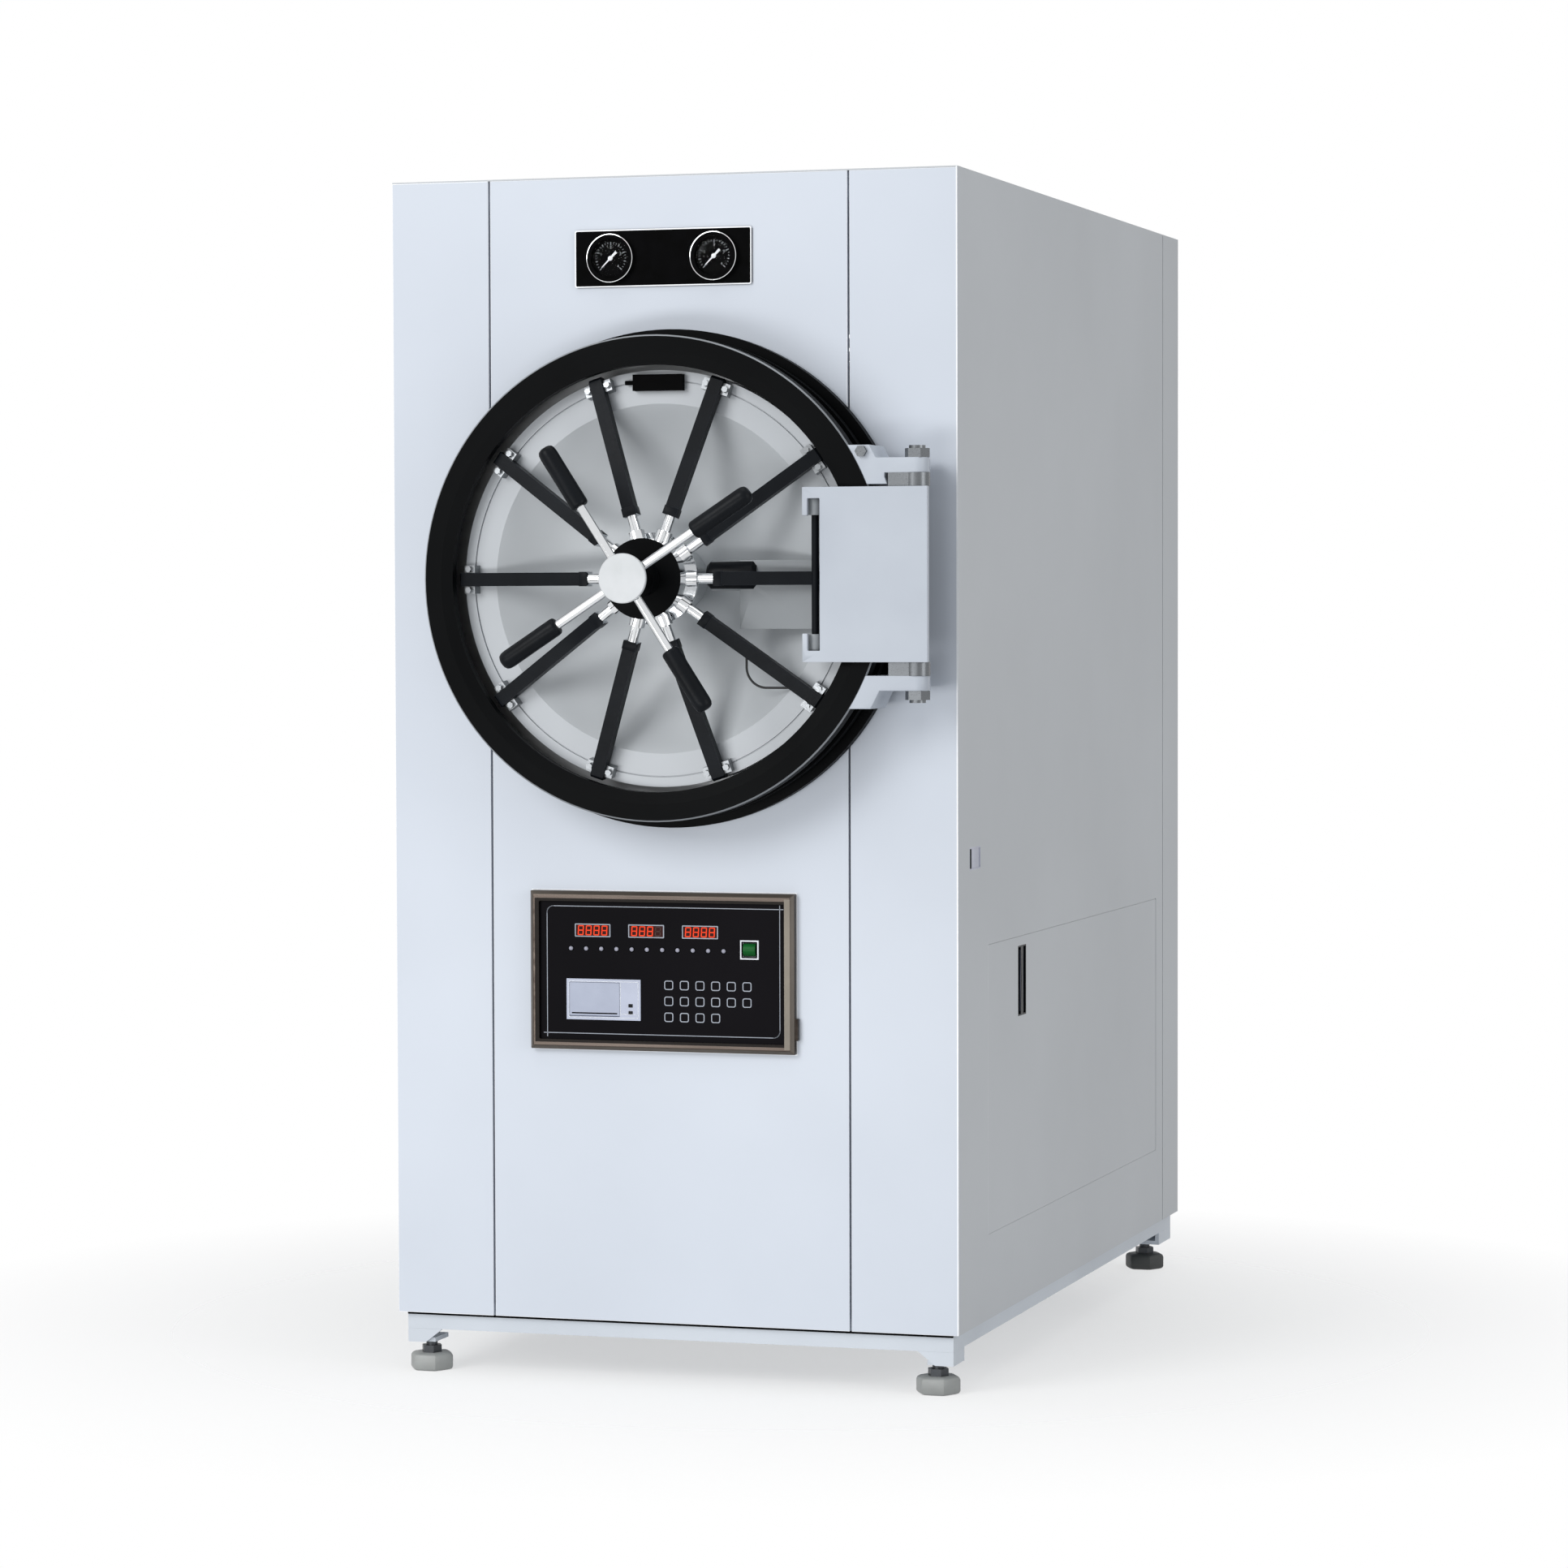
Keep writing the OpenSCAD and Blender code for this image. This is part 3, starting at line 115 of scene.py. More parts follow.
def turned_coords(tree):
    """Coordinates that change only along the door's axis and away from it, as on a turned piece."""
    coords = new_node(tree, "TexCoord")
    centre = {"Location": (-AXIS_X / 1000, 0, -AXIS_Z / 1000)}
    mapping = new_node(tree, "Mapping", centre, {"Vector": coords.outputs["Object"]})
    split = new_node(tree, "SeparateXYZ", links={"Vector": mapping.outputs["Vector"]})
    flat = new_node(tree, "CombineXYZ", links={"X": split.outputs["X"], "Y": split.outputs["Z"]})
    away = vector_length(tree, flat.outputs["Vector"])
    turned = new_node(tree, "CombineXYZ", links={"X": away, "Y": split.outputs["Y"]})
    return turned.outputs["Vector"]


def paint(name, dark, light, rough, metallic=0.0, scale=5.0, stretch=(1, 1, 1), grain=900.0, bump=0.05,
          turned=False, emission=0.0, shine=0.5):
    """A surface with cloudy colour between two hex shades, grainy roughness in a range and a fine relief."""
    tree, shader = new_material(name)
    source = turned_coords(tree) if turned else stretched_coords(tree, stretch)
    cloud = new_node(tree, "TexNoise", {"Scale": scale, "Detail": CLOUD_DETAIL}, {"Vector": source})
    fine = new_node(tree, "TexNoise", {"Scale": grain, "Detail": GRAIN_DETAIL}, {"Vector": source})
    colour = new_node(tree, "ValToRGB", links={"Fac": cloud.outputs["Fac"]})
    for stop, position, shade in zip(colour.color_ramp.elements, NOISE_RANGE, (dark, light)):
        stop.position = position
        stop.color = rgb(shade)
    spread = new_node(tree, "MapRange", links={"Value": fine.outputs["Fac"]})
    for key, value in zip(("From Min", "From Max", "To Min", "To Max"), (*NOISE_RANGE, *rough)):
        spread.inputs[key].default_value = value
    relief = new_node(tree, "Bump", {"Strength": bump, "Distance": RELIEF}, {"Height": fine.outputs["Fac"]})
    tree.links.new(colour.outputs["Color"], shader.inputs["Base Color"])
    tree.links.new(spread.outputs["Result"], shader.inputs["Roughness"])
    tree.links.new(relief.outputs["Normal"], shader.inputs["Normal"])
    shader.inputs["Metallic"].default_value = metallic
    shader.inputs["Specular IOR Level"].default_value = shine
    if emission:
        tree.links.new(colour.outputs["Color"], shader.inputs["Emission Color"])
        shader.inputs["Emission Strength"].default_value = emission


def clear_glass(name):
    """Thin clear glass with a faint gloss."""
    tree, shader = new_material(name)
    tree.nodes.remove(shader)
    clear = new_node(tree, "BsdfTransparent")
    gloss = new_node(tree, "BsdfGlossy", {"Roughness": GLASS_ROUGH})
    fresnel = new_node(tree, "Fresnel", {"IOR": GLASS_IOR})
    shares = {"Fac": fresnel.outputs[0], 1: clear.outputs[0], 2: gloss.outputs[0]}
    mix = new_node(tree, "MixShader", links=shares)
    tree.links.new(mix.outputs[0], tree.nodes["Material Output"].inputs["Surface"])


# Finishes that several materials share
SHEET_PAINT = dict(grain=1200.0, shine=0.3)
BRUSHED = dict(metallic=1.0, scale=3.0, grain=500.0, bump=0.04)
MACHINED = dict(metallic=0.9, scale=9.0, grain=500.0, bump=0.03)
BLACKENED = dict(scale=14.0, grain=500.0)
DOOR_COAT = dict(metallic=0.1, scale=6.0, grain=1400.0, bump=0.03, turned=True)
PANEL_EDGE = dict(metallic=0.3, scale=9.0, bump=0.03)
PRINTED = dict(scale=60.0, grain=1500.0, bump=0.02)
DISPLAY = dict(scale=90.0, bump=0.01, shine=0.1)
MOULDED = dict(scale=20.0, bump=0.04)

# Sheet metal and frame of the cabinet
paint("front_paint", "C8CED7", "D1D7E0", (0.32, 0.4), scale=2.0, bump=0.03, **SHEET_PAINT)
paint("side_paint", "B9BCBF", "C1C4C7", (0.38, 0.46), scale=2.0, bump=0.04, **SHEET_PAINT)
paint("hinge_paint", "B4BAC3", "BFC5CD", (0.34, 0.44), bump=0.03, **SHEET_PAINT)
paint("hinge_arm_paint", "8C9093", "989C9F", (0.34, 0.44), shine=0.25)
paint("frame_paint", "C2C8CF", "CED4DB", (0.4, 0.5), scale=4.0)
# Painted highlight: a near-white colour for thin edges, strips and lines where light catches
paint("painted_highlight_white", "F0F2F5", "F8F9FB", (0.2, 0.28), scale=30.0, bump=0.01)
paint("foot_plastic", "8C8E8C", "9A9C9A", (0.4, 0.55), scale=30.0, grain=500.0, bump=0.1)
# Painted shade: a darker copy of the foot plastic for the rear pads
paint("foot_plastic_shaded", "303231", "3C3E3D", (0.45, 0.6), scale=30.0, grain=500.0, bump=0.1)

# Door, its lock and its hinge
paint("black_paint", "060708", "0B0C0D", (0.36, 0.44), scale=6.0, grain=700.0, bump=0.03, shine=0.03)
# Painted highlight: a grey for the sloping crease on the black door ring, where light catches
paint("ring_crease_highlight", "7A7E82", "8C9094", (0.3, 0.4), scale=9.0, grain=700.0, bump=0.02, shine=0.3)
paint("door_coat", "B8BCBF", "C0C4C7", (0.32, 0.42), **DOOR_COAT)
paint("door_rim_coat", "ABAFB3", "B4B8BC", (0.32, 0.42), **DOOR_COAT)
paint("arm_steel", "0E1013", "16191D", (0.3, 0.42), bump=0.08, shine=0.06, **BLACKENED)
# Painted highlight: a lighter steel for the bevelled edges of the locking arms
paint("arm_edge_highlight", "3C434B", "4C545D", (0.3, 0.42), metallic=0.6, bump=0.03, shine=0.2, **BLACKENED)
paint("chrome", "D2D4D6", "DEE0E2", (0.06, 0.12), metallic=1.0, scale=9.0, grain=300.0, bump=0.01)
paint("guide_steel", "7C7F82", "8C8F92", (0.28, 0.38), **MACHINED)
paint("hinge_steel", "5C5F62", "6C6F72", (0.26, 0.36), **MACHINED)
paint("stud_steel", "3A3C3F", "484A4D", (0.3, 0.4), metallic=0.9, scale=20.0, grain=500.0, bump=0.04)
paint("cap_steel", "BEC1C2", "C8CACC", (0.34, 0.42), metallic=0.1, scale=30.0, bump=0.01)
paint("grip_plastic", "0B0D10", "13161A", (0.3, 0.42), scale=20.0, grain=600.0, bump=0.06, shine=0.08)
paint("rubber", "1A1A1B", "242425", (0.55, 0.7), scale=20.0, grain=500.0, bump=0.12)

# Gauges
paint("dial_black", "020202", "050506", (0.5, 0.6), shine=0.02, **PRINTED)
# Print on the dials, which also glows faintly: painted light that keeps the marks bright behind the glass
paint("dial_print_glowing", "7A7E82", "888C90", (0.5, 0.6), emission=0.25, shine=0.1, **PRINTED)
paint("needle_white", "E2E4E8", "EEF0F3", (0.4, 0.5), scale=80.0, bump=0.01)
clear_glass("clear_glass")

# Control panel
paint("panel_steel", "2E2825", "4A433E", (0.24, 0.34), stretch=(1, 1, 30), **BRUSHED)
# Painted highlight: a lighter steel for the sloping faces of the control panel's frame
paint("panel_bevel_highlight", "4E4740", "5C554D", (0.3, 0.4), shine=0.4, **PANEL_EDGE)
# Painted highlight: a lighter steel across the frame's right bar
paint("panel_right_highlight", "625C53", "6E675D", (0.3, 0.4), shine=0.3, **PANEL_EDGE)
# Painted shade: a dark band on the frame next to the film, widest on the left
paint("panel_inner_shade", "16120F", "1E1916", (0.4, 0.5), scale=30.0, bump=0.02, shine=0.1)
paint("film", "08070A", "0E0C10", (0.4, 0.48), grain=1500.0, bump=0.02, shine=0.03)
paint("key_print", "8E949E", "A0A6B0", (0.45, 0.55), **PRINTED)
paint("display_window", "2A0806", "360C08", (0.45, 0.55), scale=40.0, bump=0.01, shine=0.1)
paint("led_digit", "D83A1C", "E84A28", (0.5, 0.6), emission=0.4, **DISPLAY)
paint("led_off", "42302C", "4E3A36", (0.5, 0.6), **DISPLAY)
paint("lamp_lens", "8E8E9C", "A2A2B0", (0.3, 0.38), scale=90.0, grain=700.0, bump=0.02)
paint("white_plastic", "D9DCE2", "E3E6EB", (0.35, 0.45), scale=40.0, bump=0.03)
paint("rocker_green", "0B4C1D", "125C27", (0.3, 0.38), scale=50.0, bump=0.02, emission=0.04, shine=0.1)
paint("printer_plastic", "A6ACBE", "B4BACC", (0.35, 0.45), **MOULDED)
paint("paper_cover", "989FB2", "A5ACBE", (0.35, 0.45), **MOULDED)

# Right side, inside and rear
paint("latch_plastic", "AEB0BE", "BEC0CE", (0.35, 0.45), scale=30.0, bump=0.03)
# Painted highlight: a bluish tone for two crescents on the black pull
paint("pull_highlight_blue", "222838", "2E3448", (0.35, 0.45), scale=30.0, bump=0.02, shine=0.2)
paint("stainless", "8E9092", "9C9EA0", (0.32, 0.44), stretch=(1, 1, 14), **BRUSHED)
paint("mineral_wool", "A39A72", "B9B088", (0.8, 0.95), scale=40.0, grain=200.0, bump=0.6)
paint("pump_paint", "1F3C63", "2A4A75", (0.35, 0.45), scale=12.0, grain=500.0, bump=0.08)
paint("brass", "B08D45", "C8A459", (0.22, 0.34), metallic=1.0, scale=20.0, grain=500.0, bump=0.04)

# Surfaces of the CAD's own pieces
ARMS = [f"locking_arm_{i:02d}" for i in range(1, 11)]
LOOKS = {
    "front_paint": ["front_panel_left", "front_panel_centre", "front_panel_right"],
    "side_paint": ["side_panel_left", "side_panel_right", "top_panel", "back_panel", "side_door"],
    "frame_paint": ["cabinet_frame"],
    "stud_steel": ["foot_studs"],
    "brass": ["back_fittings"],
    "dial_black": ["gauge_plate", "interlock_switch"],
    "chrome": ["gauge_cases", "hub_ring", "handwheel_spindle", "handwheel_rods"],
    "needle_white": ["gauge_needle_left", "gauge_needle_right"],
    "panel_steel": ["control_frame"],
    "film": ["control_board"],
    "display_window": ["display_windows"],
    "white_plastic": ["switch_bezel"],
    "rocker_green": ["power_rocker"],
    "printer_plastic": ["printer_body"],
    "paper_cover": ["printer_door"],
    "grip_plastic": ["printer_button_upper", "printer_button_lower", "side_pull"],
    "stainless": ["chamber", "steam_generator"],
    "mineral_wool": ["insulation"],
    "pump_paint": ["water_pump"],
    "latch_plastic": ["side_latch"],
    "black_paint": ["door_ring", "hub_housing"],
    "door_coat": ["door_plate"],
    "rubber": ["door_gasket", "switch_cable"],
    "guide_steel": ["arm_guides"],
    "arm_steel": ["inner_hinge_pin"] + ARMS,
    "cap_steel": ["handwheel_cap"],
    "hinge_paint": ["hinge_lugs", "hinge_link"],
    "hinge_arm_paint": ["hinge_arm"],
    "hinge_steel": ["hinge_pin", "hinge_hardware"],
}
for look, names in LOOKS.items():
    for name in names:
        NODES[name].data.materials.clear()
        NODES[name].data.materials.append(MATERIALS[look])

# Faces that have another surface than the rest of their piece
HUB_R = 54.0
DISH_R = 236.0
LIP_R = 287.0
BAR_R = 88.0
HUB_FACE_OVER = 0.5
HUB_WALL_IN = 4.0
RIM_OUT = 2.0
CREASE_OUT = 3.0
ROD_OUT = 1.0
SLEEVE_END_X = 160.0
SLEEVE_FRONT_Y = -64.5
SIDEWAYS = 0.5
FORWARD = 0.2
SLOPING = (0.3, 0.9)


def from_axis(centre):
    """Distance from the door's axis, in mm."""
    x, _, z = centre
    return math.hypot(x - AXIS_X, z - AXIS_Z)


def slopes(facing):
    """True for a face that is neither flat to the front nor edge on."""
    return SLOPING[0] < -facing.y < SLOPING[1]


def is_rod_boss(centre, facing):
    """The bosses that stand out of the hub, apart from the hub's own front."""
    inner = HUB_R - HUB_WALL_IN if abs(facing.y) < SIDEWAYS else HUB_R + HUB_FACE_OVER
    return from_axis(centre) > inner


def is_door_rim(centre, facing):
    """The door's front outside its dish."""
    return from_axis(centre) > DISH_R + RIM_OUT and -facing.y > FORWARD


def is_arm_sleeve(centre, facing):
    """The black sleeve at the end of the arm that carries the door."""
    x, y, _ = centre
    return x < SLEEVE_END_X and y < SLEEVE_FRONT_Y


def is_frame_bevel(centre, facing):
    """The sloping faces of the control panel's frame."""
    return slopes(facing)


def is_ring_crease(centre, facing):
    """The sloping crease on the front of the door ring."""
    return from_axis(centre) > LIP_R + CREASE_OUT and slopes(facing)


def is_bare_rod(centre, facing):
    """The round rod at an arm's inner end."""
    return from_axis(centre) < BAR_R + ROD_OUT


def second_look(name, look, wanted):
    """Gives the faces where wanted(centre, facing) holds a second surface; the centre is in mm."""
    node = NODES[name]
    node.data.materials.append(MATERIALS[look])
    turn = node.matrix_world.to_3x3()
    for face in node.data.polygons:
        place = node.matrix_world @ face.center
        centre = (place.x * 1000, place.y * 1000 + MID_Y, place.z * 1000)
        if wanted(centre, turn @ face.normal):
            face.material_index = 1


second_look("hub_housing", "chrome", is_rod_boss)
second_look("door_plate", "door_rim_coat", is_door_rim)
second_look("hinge_arm", "grip_plastic", is_arm_sleeve)
# The frame's sloping faces take the lighter steel: painted highlights
second_look("control_frame", "panel_bevel_highlight", is_frame_bevel)
# The ring's sloping crease in the lighter grey: a painted highlight
second_look("door_ring", "ring_crease_highlight", is_ring_crease)
for name in ARMS:
    second_look(name, "chrome", is_bare_rod)

# Softened edges, by modifiers that leave the CAD's meshes as they are
SMALL_FACE_M2 = 0.0006
WELD_GAP_M = 0.00001
BEVEL_STEPS = 2
BEVEL_ANGLE = math.radians(30)


def add_bevel(made, width, harden):
    """A bevel in mm on the sharp edges of a piece."""
    bevel = made.modifiers.new("bevel", "BEVEL")
    bevel.width = width / 1000
    bevel.segments = BEVEL_STEPS
    bevel.limit_method = "ANGLE"
    bevel.angle_limit = BEVEL_ANGLE
    bevel.harden_normals = harden
    return bevel


def soften(name, width, smooth=True, edge=None):
    """Rounds the edges of a CAD piece, whose large faces stay flat; edge is the material of the bevel."""
    node = NODES[name]
    for face in node.data.polygons:
        face.use_smooth = smooth and face.area < SMALL_FACE_M2
    weld = node.modifiers.new("weld", "WELD")
    weld.merge_threshold = WELD_GAP_M
    bevel = add_bevel(node, width, harden=False)
    if edge:
        node.data.materials.append(MATERIALS[edge])
        bevel.material = len(node.data.materials) - 1


for name in ("hinge_link", "hinge_arm", "hinge_lugs", "control_frame"):
    soften(name, 1.0)
soften("gauge_cases", 0.5)
# The front panels' bevels take the near-white colour: painted highlights along their edges
soften("front_panel_left", 1.0, smooth=False, edge="painted_highlight_white")
soften("front_panel_centre", 0.8, smooth=False, edge="painted_highlight_white")
soften("front_panel_right", 1.8, smooth=False, edge="painted_highlight_white")
# The arms' bevels take the lighter steel: painted highlights along their edges
for name in ARMS:
    soften(name, 1.2, edge="arm_edge_highlight")


# Mesh tools; outlines are lists of (x, z) in mm, and front and back are distances before the front panels
def skin(rings, closed=False):
    """Faces between rings of equally many points, capped at both ends, or closed to a loop of rings."""
    n, count = len(rings[0]), len(rings)
    faces = [] if closed else [list(range(n))[::-1], list(range((count - 1) * n, count * n))]
    for j in range(count if closed else count - 1):
        low, high = j * n, (j + 1) % count * n
        faces += [[low + i, low + (i + 1) % n, high + (i + 1) % n, high + i] for i in range(n)]
    return sum(rings, []), faces


def joined(parts):
    """One list of points and faces from several."""
    verts, faces = [], []
    for part_verts, part_faces in parts:
        faces += [[i + len(verts) for i in face] for face in part_faces]
        verts += part_verts
    return verts, faces


def layer(outline, reach, at):
    """An outline's points at a distance before the front panels."""
    return [point(at[0] + x, -reach, at[1] + z) for x, z in outline]


def prism(outline, front, back, at):
    """An outline thickened from front to back."""
    return skin([layer(outline, front, at), layer(outline, back, at)])


def band(outer, inner, front, back, at):
    """The space between two outlines with the same number of points."""
    corners = ((outer, front), (inner, front), (inner, back), (outer, back))
    return skin([layer(outline, reach, at) for outline, reach in corners], closed=True)


def corner(x, z, radius, start, steps=8):
    """Points of a quarter circle round (x, z) from the start angle in degrees."""
    turns = [math.radians(start + 90 * i / steps) for i in range(steps + 1)]
    return [(x + radius * math.cos(t), z + radius * math.sin(t)) for t in turns]


def rounded(w, h, radius, steps=6):
    """A rectangle with round corners."""
    x, z = w / 2 - radius, h / 2 - radius
    places = ((x, z, 0), (-x, z, 90), (-x, -z, 180), (x, -z, 270))
    return sum((corner(cx, cz, radius, start, steps) for cx, cz, start in places), [])


def border(w, h, width, radii, front, back, at, steps=6):
    """A strip along the inside of a w by h rectangle; radii are of its outer and inner corners."""
    inner = rounded(w - 2 * width, h - 2 * width, radii[1], steps)
    return band(rounded(w, h, radii[0], steps), inner, front, back, at)


def circle(radius, steps=64):
    """A circle's points."""
    turns = [2 * math.pi * i / steps for i in range(steps)]
    return [(radius * math.cos(t), radius * math.sin(t)) for t in turns]


def lathe(profile, base, direction, steps):
    """Turned from (distance along, radius) points round an axis that starts at base."""
    axis = Vector(direction).normalized()
    side = axis.orthogonal().normalized()
    other = axis.cross(side)
    turns = [2 * math.pi * i / steps for i in range(steps)]
    return skin([[base + axis * (d / 1000) + (side * math.cos(t) + other * math.sin(t)) * (r / 1000)
                  for t in turns] for d, r in profile])


def stroke(points, width, front, back, at):
    """A flat line of the given width along (x, z) points, as one bar for each stretch."""
    bars = []
    for (x0, z0), (x1, z1) in zip(points, points[1:]):
        length = math.hypot(x1 - x0, z1 - z0)
        ex, ez = (x1 - x0) / length * width / 2, (z1 - z0) / length * width / 2
        outline = [(x0 - ex - ez, z0 - ez + ex), (x0 - ex + ez, z0 - ez - ex),
                   (x1 + ex + ez, z1 + ez - ex), (x1 + ex - ez, z1 + ez + ex)]
        bars.append(prism(outline, front, back, at))
    return joined(bars)


def block(low, high):
    """A box between two corners."""
    (x0, y0, z0), (x1, y1, z1) = low, high
    return skin([[point(x0, y, z0), point(x1, y, z0), point(x1, y, z1), point(x0, y, z1)] for y in (y0, y1)])


def piece(name, shape, look, body, smooth=False, bevel=0.0):
    """A piece of the scene from (points, faces), which rides on a body."""
    mesh = bpy.data.meshes.new(name)
    verts, faces = shape
    mesh.from_pydata([tuple(v) for v in verts], [], faces)
    mesh.validate()
    bm = bmesh.new()
    bm.from_mesh(mesh)
    bmesh.ops.recalc_face_normals(bm, faces=bm.faces)
    bm.to_mesh(mesh)
    bm.free()
    mesh.materials.append(MATERIALS[look])
    for face in mesh.polygons:
        face.use_smooth = bool(smooth or bevel)
    made = add_object(name, mesh)
    if bevel:
        add_bevel(made, bevel, harden=True)
    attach(made, body)
    return made


# Gauges; SUNK is how far thin pieces reach into what carries them
SUNK = 0.1
GAUGE_DROP = 112.0
PLATE = (-9.0, CAB_H - GAUGE_DROP)
PLATE_W = 253.0
PLATE_H = 78.0
PLATE_T = 3.0
PLATE_INSET = 0.1
PLATE_EDGE = 1.6
PLATE_EDGE_PROUD = 0.25
PLATE_RADII = (2.4, 1.6)
FEW_STEPS = 2
GAUGE_PITCH = 148.0
DIAL_R = 28.3
DIAL_FRONT = 4.9
DIAL_T = 0.5
BEZEL_R = 32.0
BEZEL_HOLE_R = 26.6
BEZEL_FRONT = 11.4
BEZEL_T = 1.7
BEZEL_STEPS = 96
GLASS_R = 28.4
GLASS_FRONT = 9.6
GLASS_T = 0.7
MARK_FRONT = 5.1
MARK_T = 0.3
SCALE_START = 225
SCALE_TURN = 270
TICKS = 24
LONG_EVERY, MIDDLE_EVERY = 6, 3
TICK_END = 21.6
LONG_TICK, MIDDLE_TICK, SHORT_TICK = 18.6, 19.6, 20.4
TICK_W, FINE_TICK_W = 1.1, 0.7
FIGURE_R = 15.0
FIGURE_SIZE = 1.5
FIGURE_W = 0.6
FIGURES = {
    "0": [(-0.5, 0.8), (0, 1), (0.5, 0.8), (0.5, -0.8), (0, -1), (-0.5, -0.8), (-0.5, 0.8)],
    "1": [(-0.3, 0.7), (0, 1), (0, -1)],
    "2": [(-0.6, 0.7), (-0.3, 1), (0.3, 1), (0.6, 0.6), (-0.6, -1), (0.6, -1)],
    "3": [(-0.6, 1), (0.6, 1), (0, 0.2), (0.6, -0.4), (0.3, -1), (-0.6, -0.9)],
    "4": [(0.3, -1), (0.3, 1), (-0.6, -0.4), (0.6, -0.4)],
}


def gauge_tick(i, at):
    """One of the scale's ticks, longer and wider at each third and sixth."""
    t = math.radians(SCALE_START - SCALE_TURN * i / TICKS)
    start = LONG_TICK if i % LONG_EVERY == 0 else MIDDLE_TICK if i % MIDDLE_EVERY == 0 else SHORT_TICK
    width = TICK_W if i % MIDDLE_EVERY == 0 else FINE_TICK_W
    line = [(r * math.cos(t), r * math.sin(t)) for r in (start, TICK_END)]
    return stroke(line, width, MARK_FRONT, MARK_FRONT - MARK_T, at)


def gauge_figure(figure, i, at):
    """The scale's figure number i."""
    t = math.radians(SCALE_START - SCALE_TURN * i / (len(FIGURES) - 1))
    line = [(FIGURE_R * math.cos(t) + FIGURE_SIZE * a, FIGURE_R * math.sin(t) + FIGURE_SIZE * b)
            for a, b in FIGURES[figure]]
    return stroke(line, FIGURE_W, MARK_FRONT, MARK_FRONT - MARK_T, at)


def gauge(side, x):
    """A dial with its marks, a dark bezel and a glass."""
    at = (PLATE[0] + x, PLATE[1])
    marks = [gauge_tick(i, at) for i in range(TICKS + 1)]
    marks += [gauge_figure(figure, i, at) for i, figure in enumerate(FIGURES)]
    dial = prism(circle(DIAL_R), DIAL_FRONT, DIAL_FRONT - DIAL_T, at)
    outer, hole = circle(BEZEL_R, BEZEL_STEPS), circle(BEZEL_HOLE_R, BEZEL_STEPS)
    bezel = band(outer, hole, BEZEL_FRONT, BEZEL_FRONT - BEZEL_T, at)
    glass = prism(circle(GLASS_R), GLASS_FRONT, GLASS_FRONT - GLASS_T, at)
    piece(f"dial_{side}", dial, "dial_black", "cabinet")
    piece(f"bezel_{side}", bezel, "dial_black", "cabinet")
    piece(f"dial_marks_{side}", joined(marks), "dial_print_glowing", "cabinet")
    piece(f"gauge_glass_{side}", glass, "clear_glass", "cabinet")


# The gauge plate's near-white edge strip is a painted highlight
edge_w, edge_h = PLATE_W - 2 * PLATE_INSET, PLATE_H - 2 * PLATE_INSET
plate_edge = border(edge_w, edge_h, PLATE_EDGE, PLATE_RADII, PLATE_T + PLATE_EDGE_PROUD, PLATE_T - SUNK,
                    PLATE, FEW_STEPS)
piece("gauge_plate_edge", plate_edge, "painted_highlight_white", "cabinet")
gauge("left", -GAUGE_PITCH / 2)
gauge("right", GAUGE_PITCH / 2)

# Control panel: lines on the film, and strips of painted shade and painted highlight on its frame
BOARD_DROP = 535.5
BOARD = (-12.5, AXIS_Z - BOARD_DROP)
BOARD_W = 380.0
BOARD_H = 218.0
BOARD_BORDER = 14.0
BOARD_REACH = 14.0
BOARD_SUNK = 5.0
FILM = BOARD_REACH - BOARD_SUNK
FILM_W = BOARD_W - 2 * BOARD_BORDER
FILM_H = BOARD_H - 2 * BOARD_BORDER
LINE_W = 1.0
LINE_PROUD = 0.15
LINE_LEFT, LINE_RIGHT, LINE_TOP, LINE_LOW = -165.7, 169.0, 88.0, -86.5
LINE_TURN = 9.0
LINE_OVER = 5.0
DARK_MORE_W, DARK_MORE_H = 6.5, 8.0
DARK_SHIFT = 2.75
DARK_PROUD = 0.1
DARK_RADII = (0.6, 0.5)
LIGHT_X = 180.6
LIGHT_W = 8.0
LIGHT_PROUD = 0.08
LIGHT_RADIUS = 0.3
STRIP_GAP = 0.2
OUTLINE_OVER = 2.6
OUTLINE_W = 1.4
OUTLINE_FRONT, OUTLINE_BACK = 0.5, -0.2
OUTLINE_RADII = (1.4, 0.4)


def film_lines():
    """Two fine lines round the film, which cross at two corners and turn at the others."""
    upper = [(LINE_RIGHT + LINE_OVER, LINE_TOP)]
    upper += corner(LINE_LEFT + LINE_TURN, LINE_TOP - LINE_TURN, LINE_TURN, 90)
    upper += [(LINE_LEFT, LINE_LOW - LINE_OVER)]
    lower = [(LINE_RIGHT, LINE_TOP + LINE_OVER)]
    lower += corner(LINE_RIGHT - LINE_TURN, LINE_LOW + LINE_TURN, LINE_TURN, 270)[::-1]
    lower += [(LINE_LEFT - LINE_OVER, LINE_LOW)]
    return joined([stroke(line, LINE_W, FILM + LINE_PROUD, FILM - SUNK, BOARD) for line in (upper, lower)])


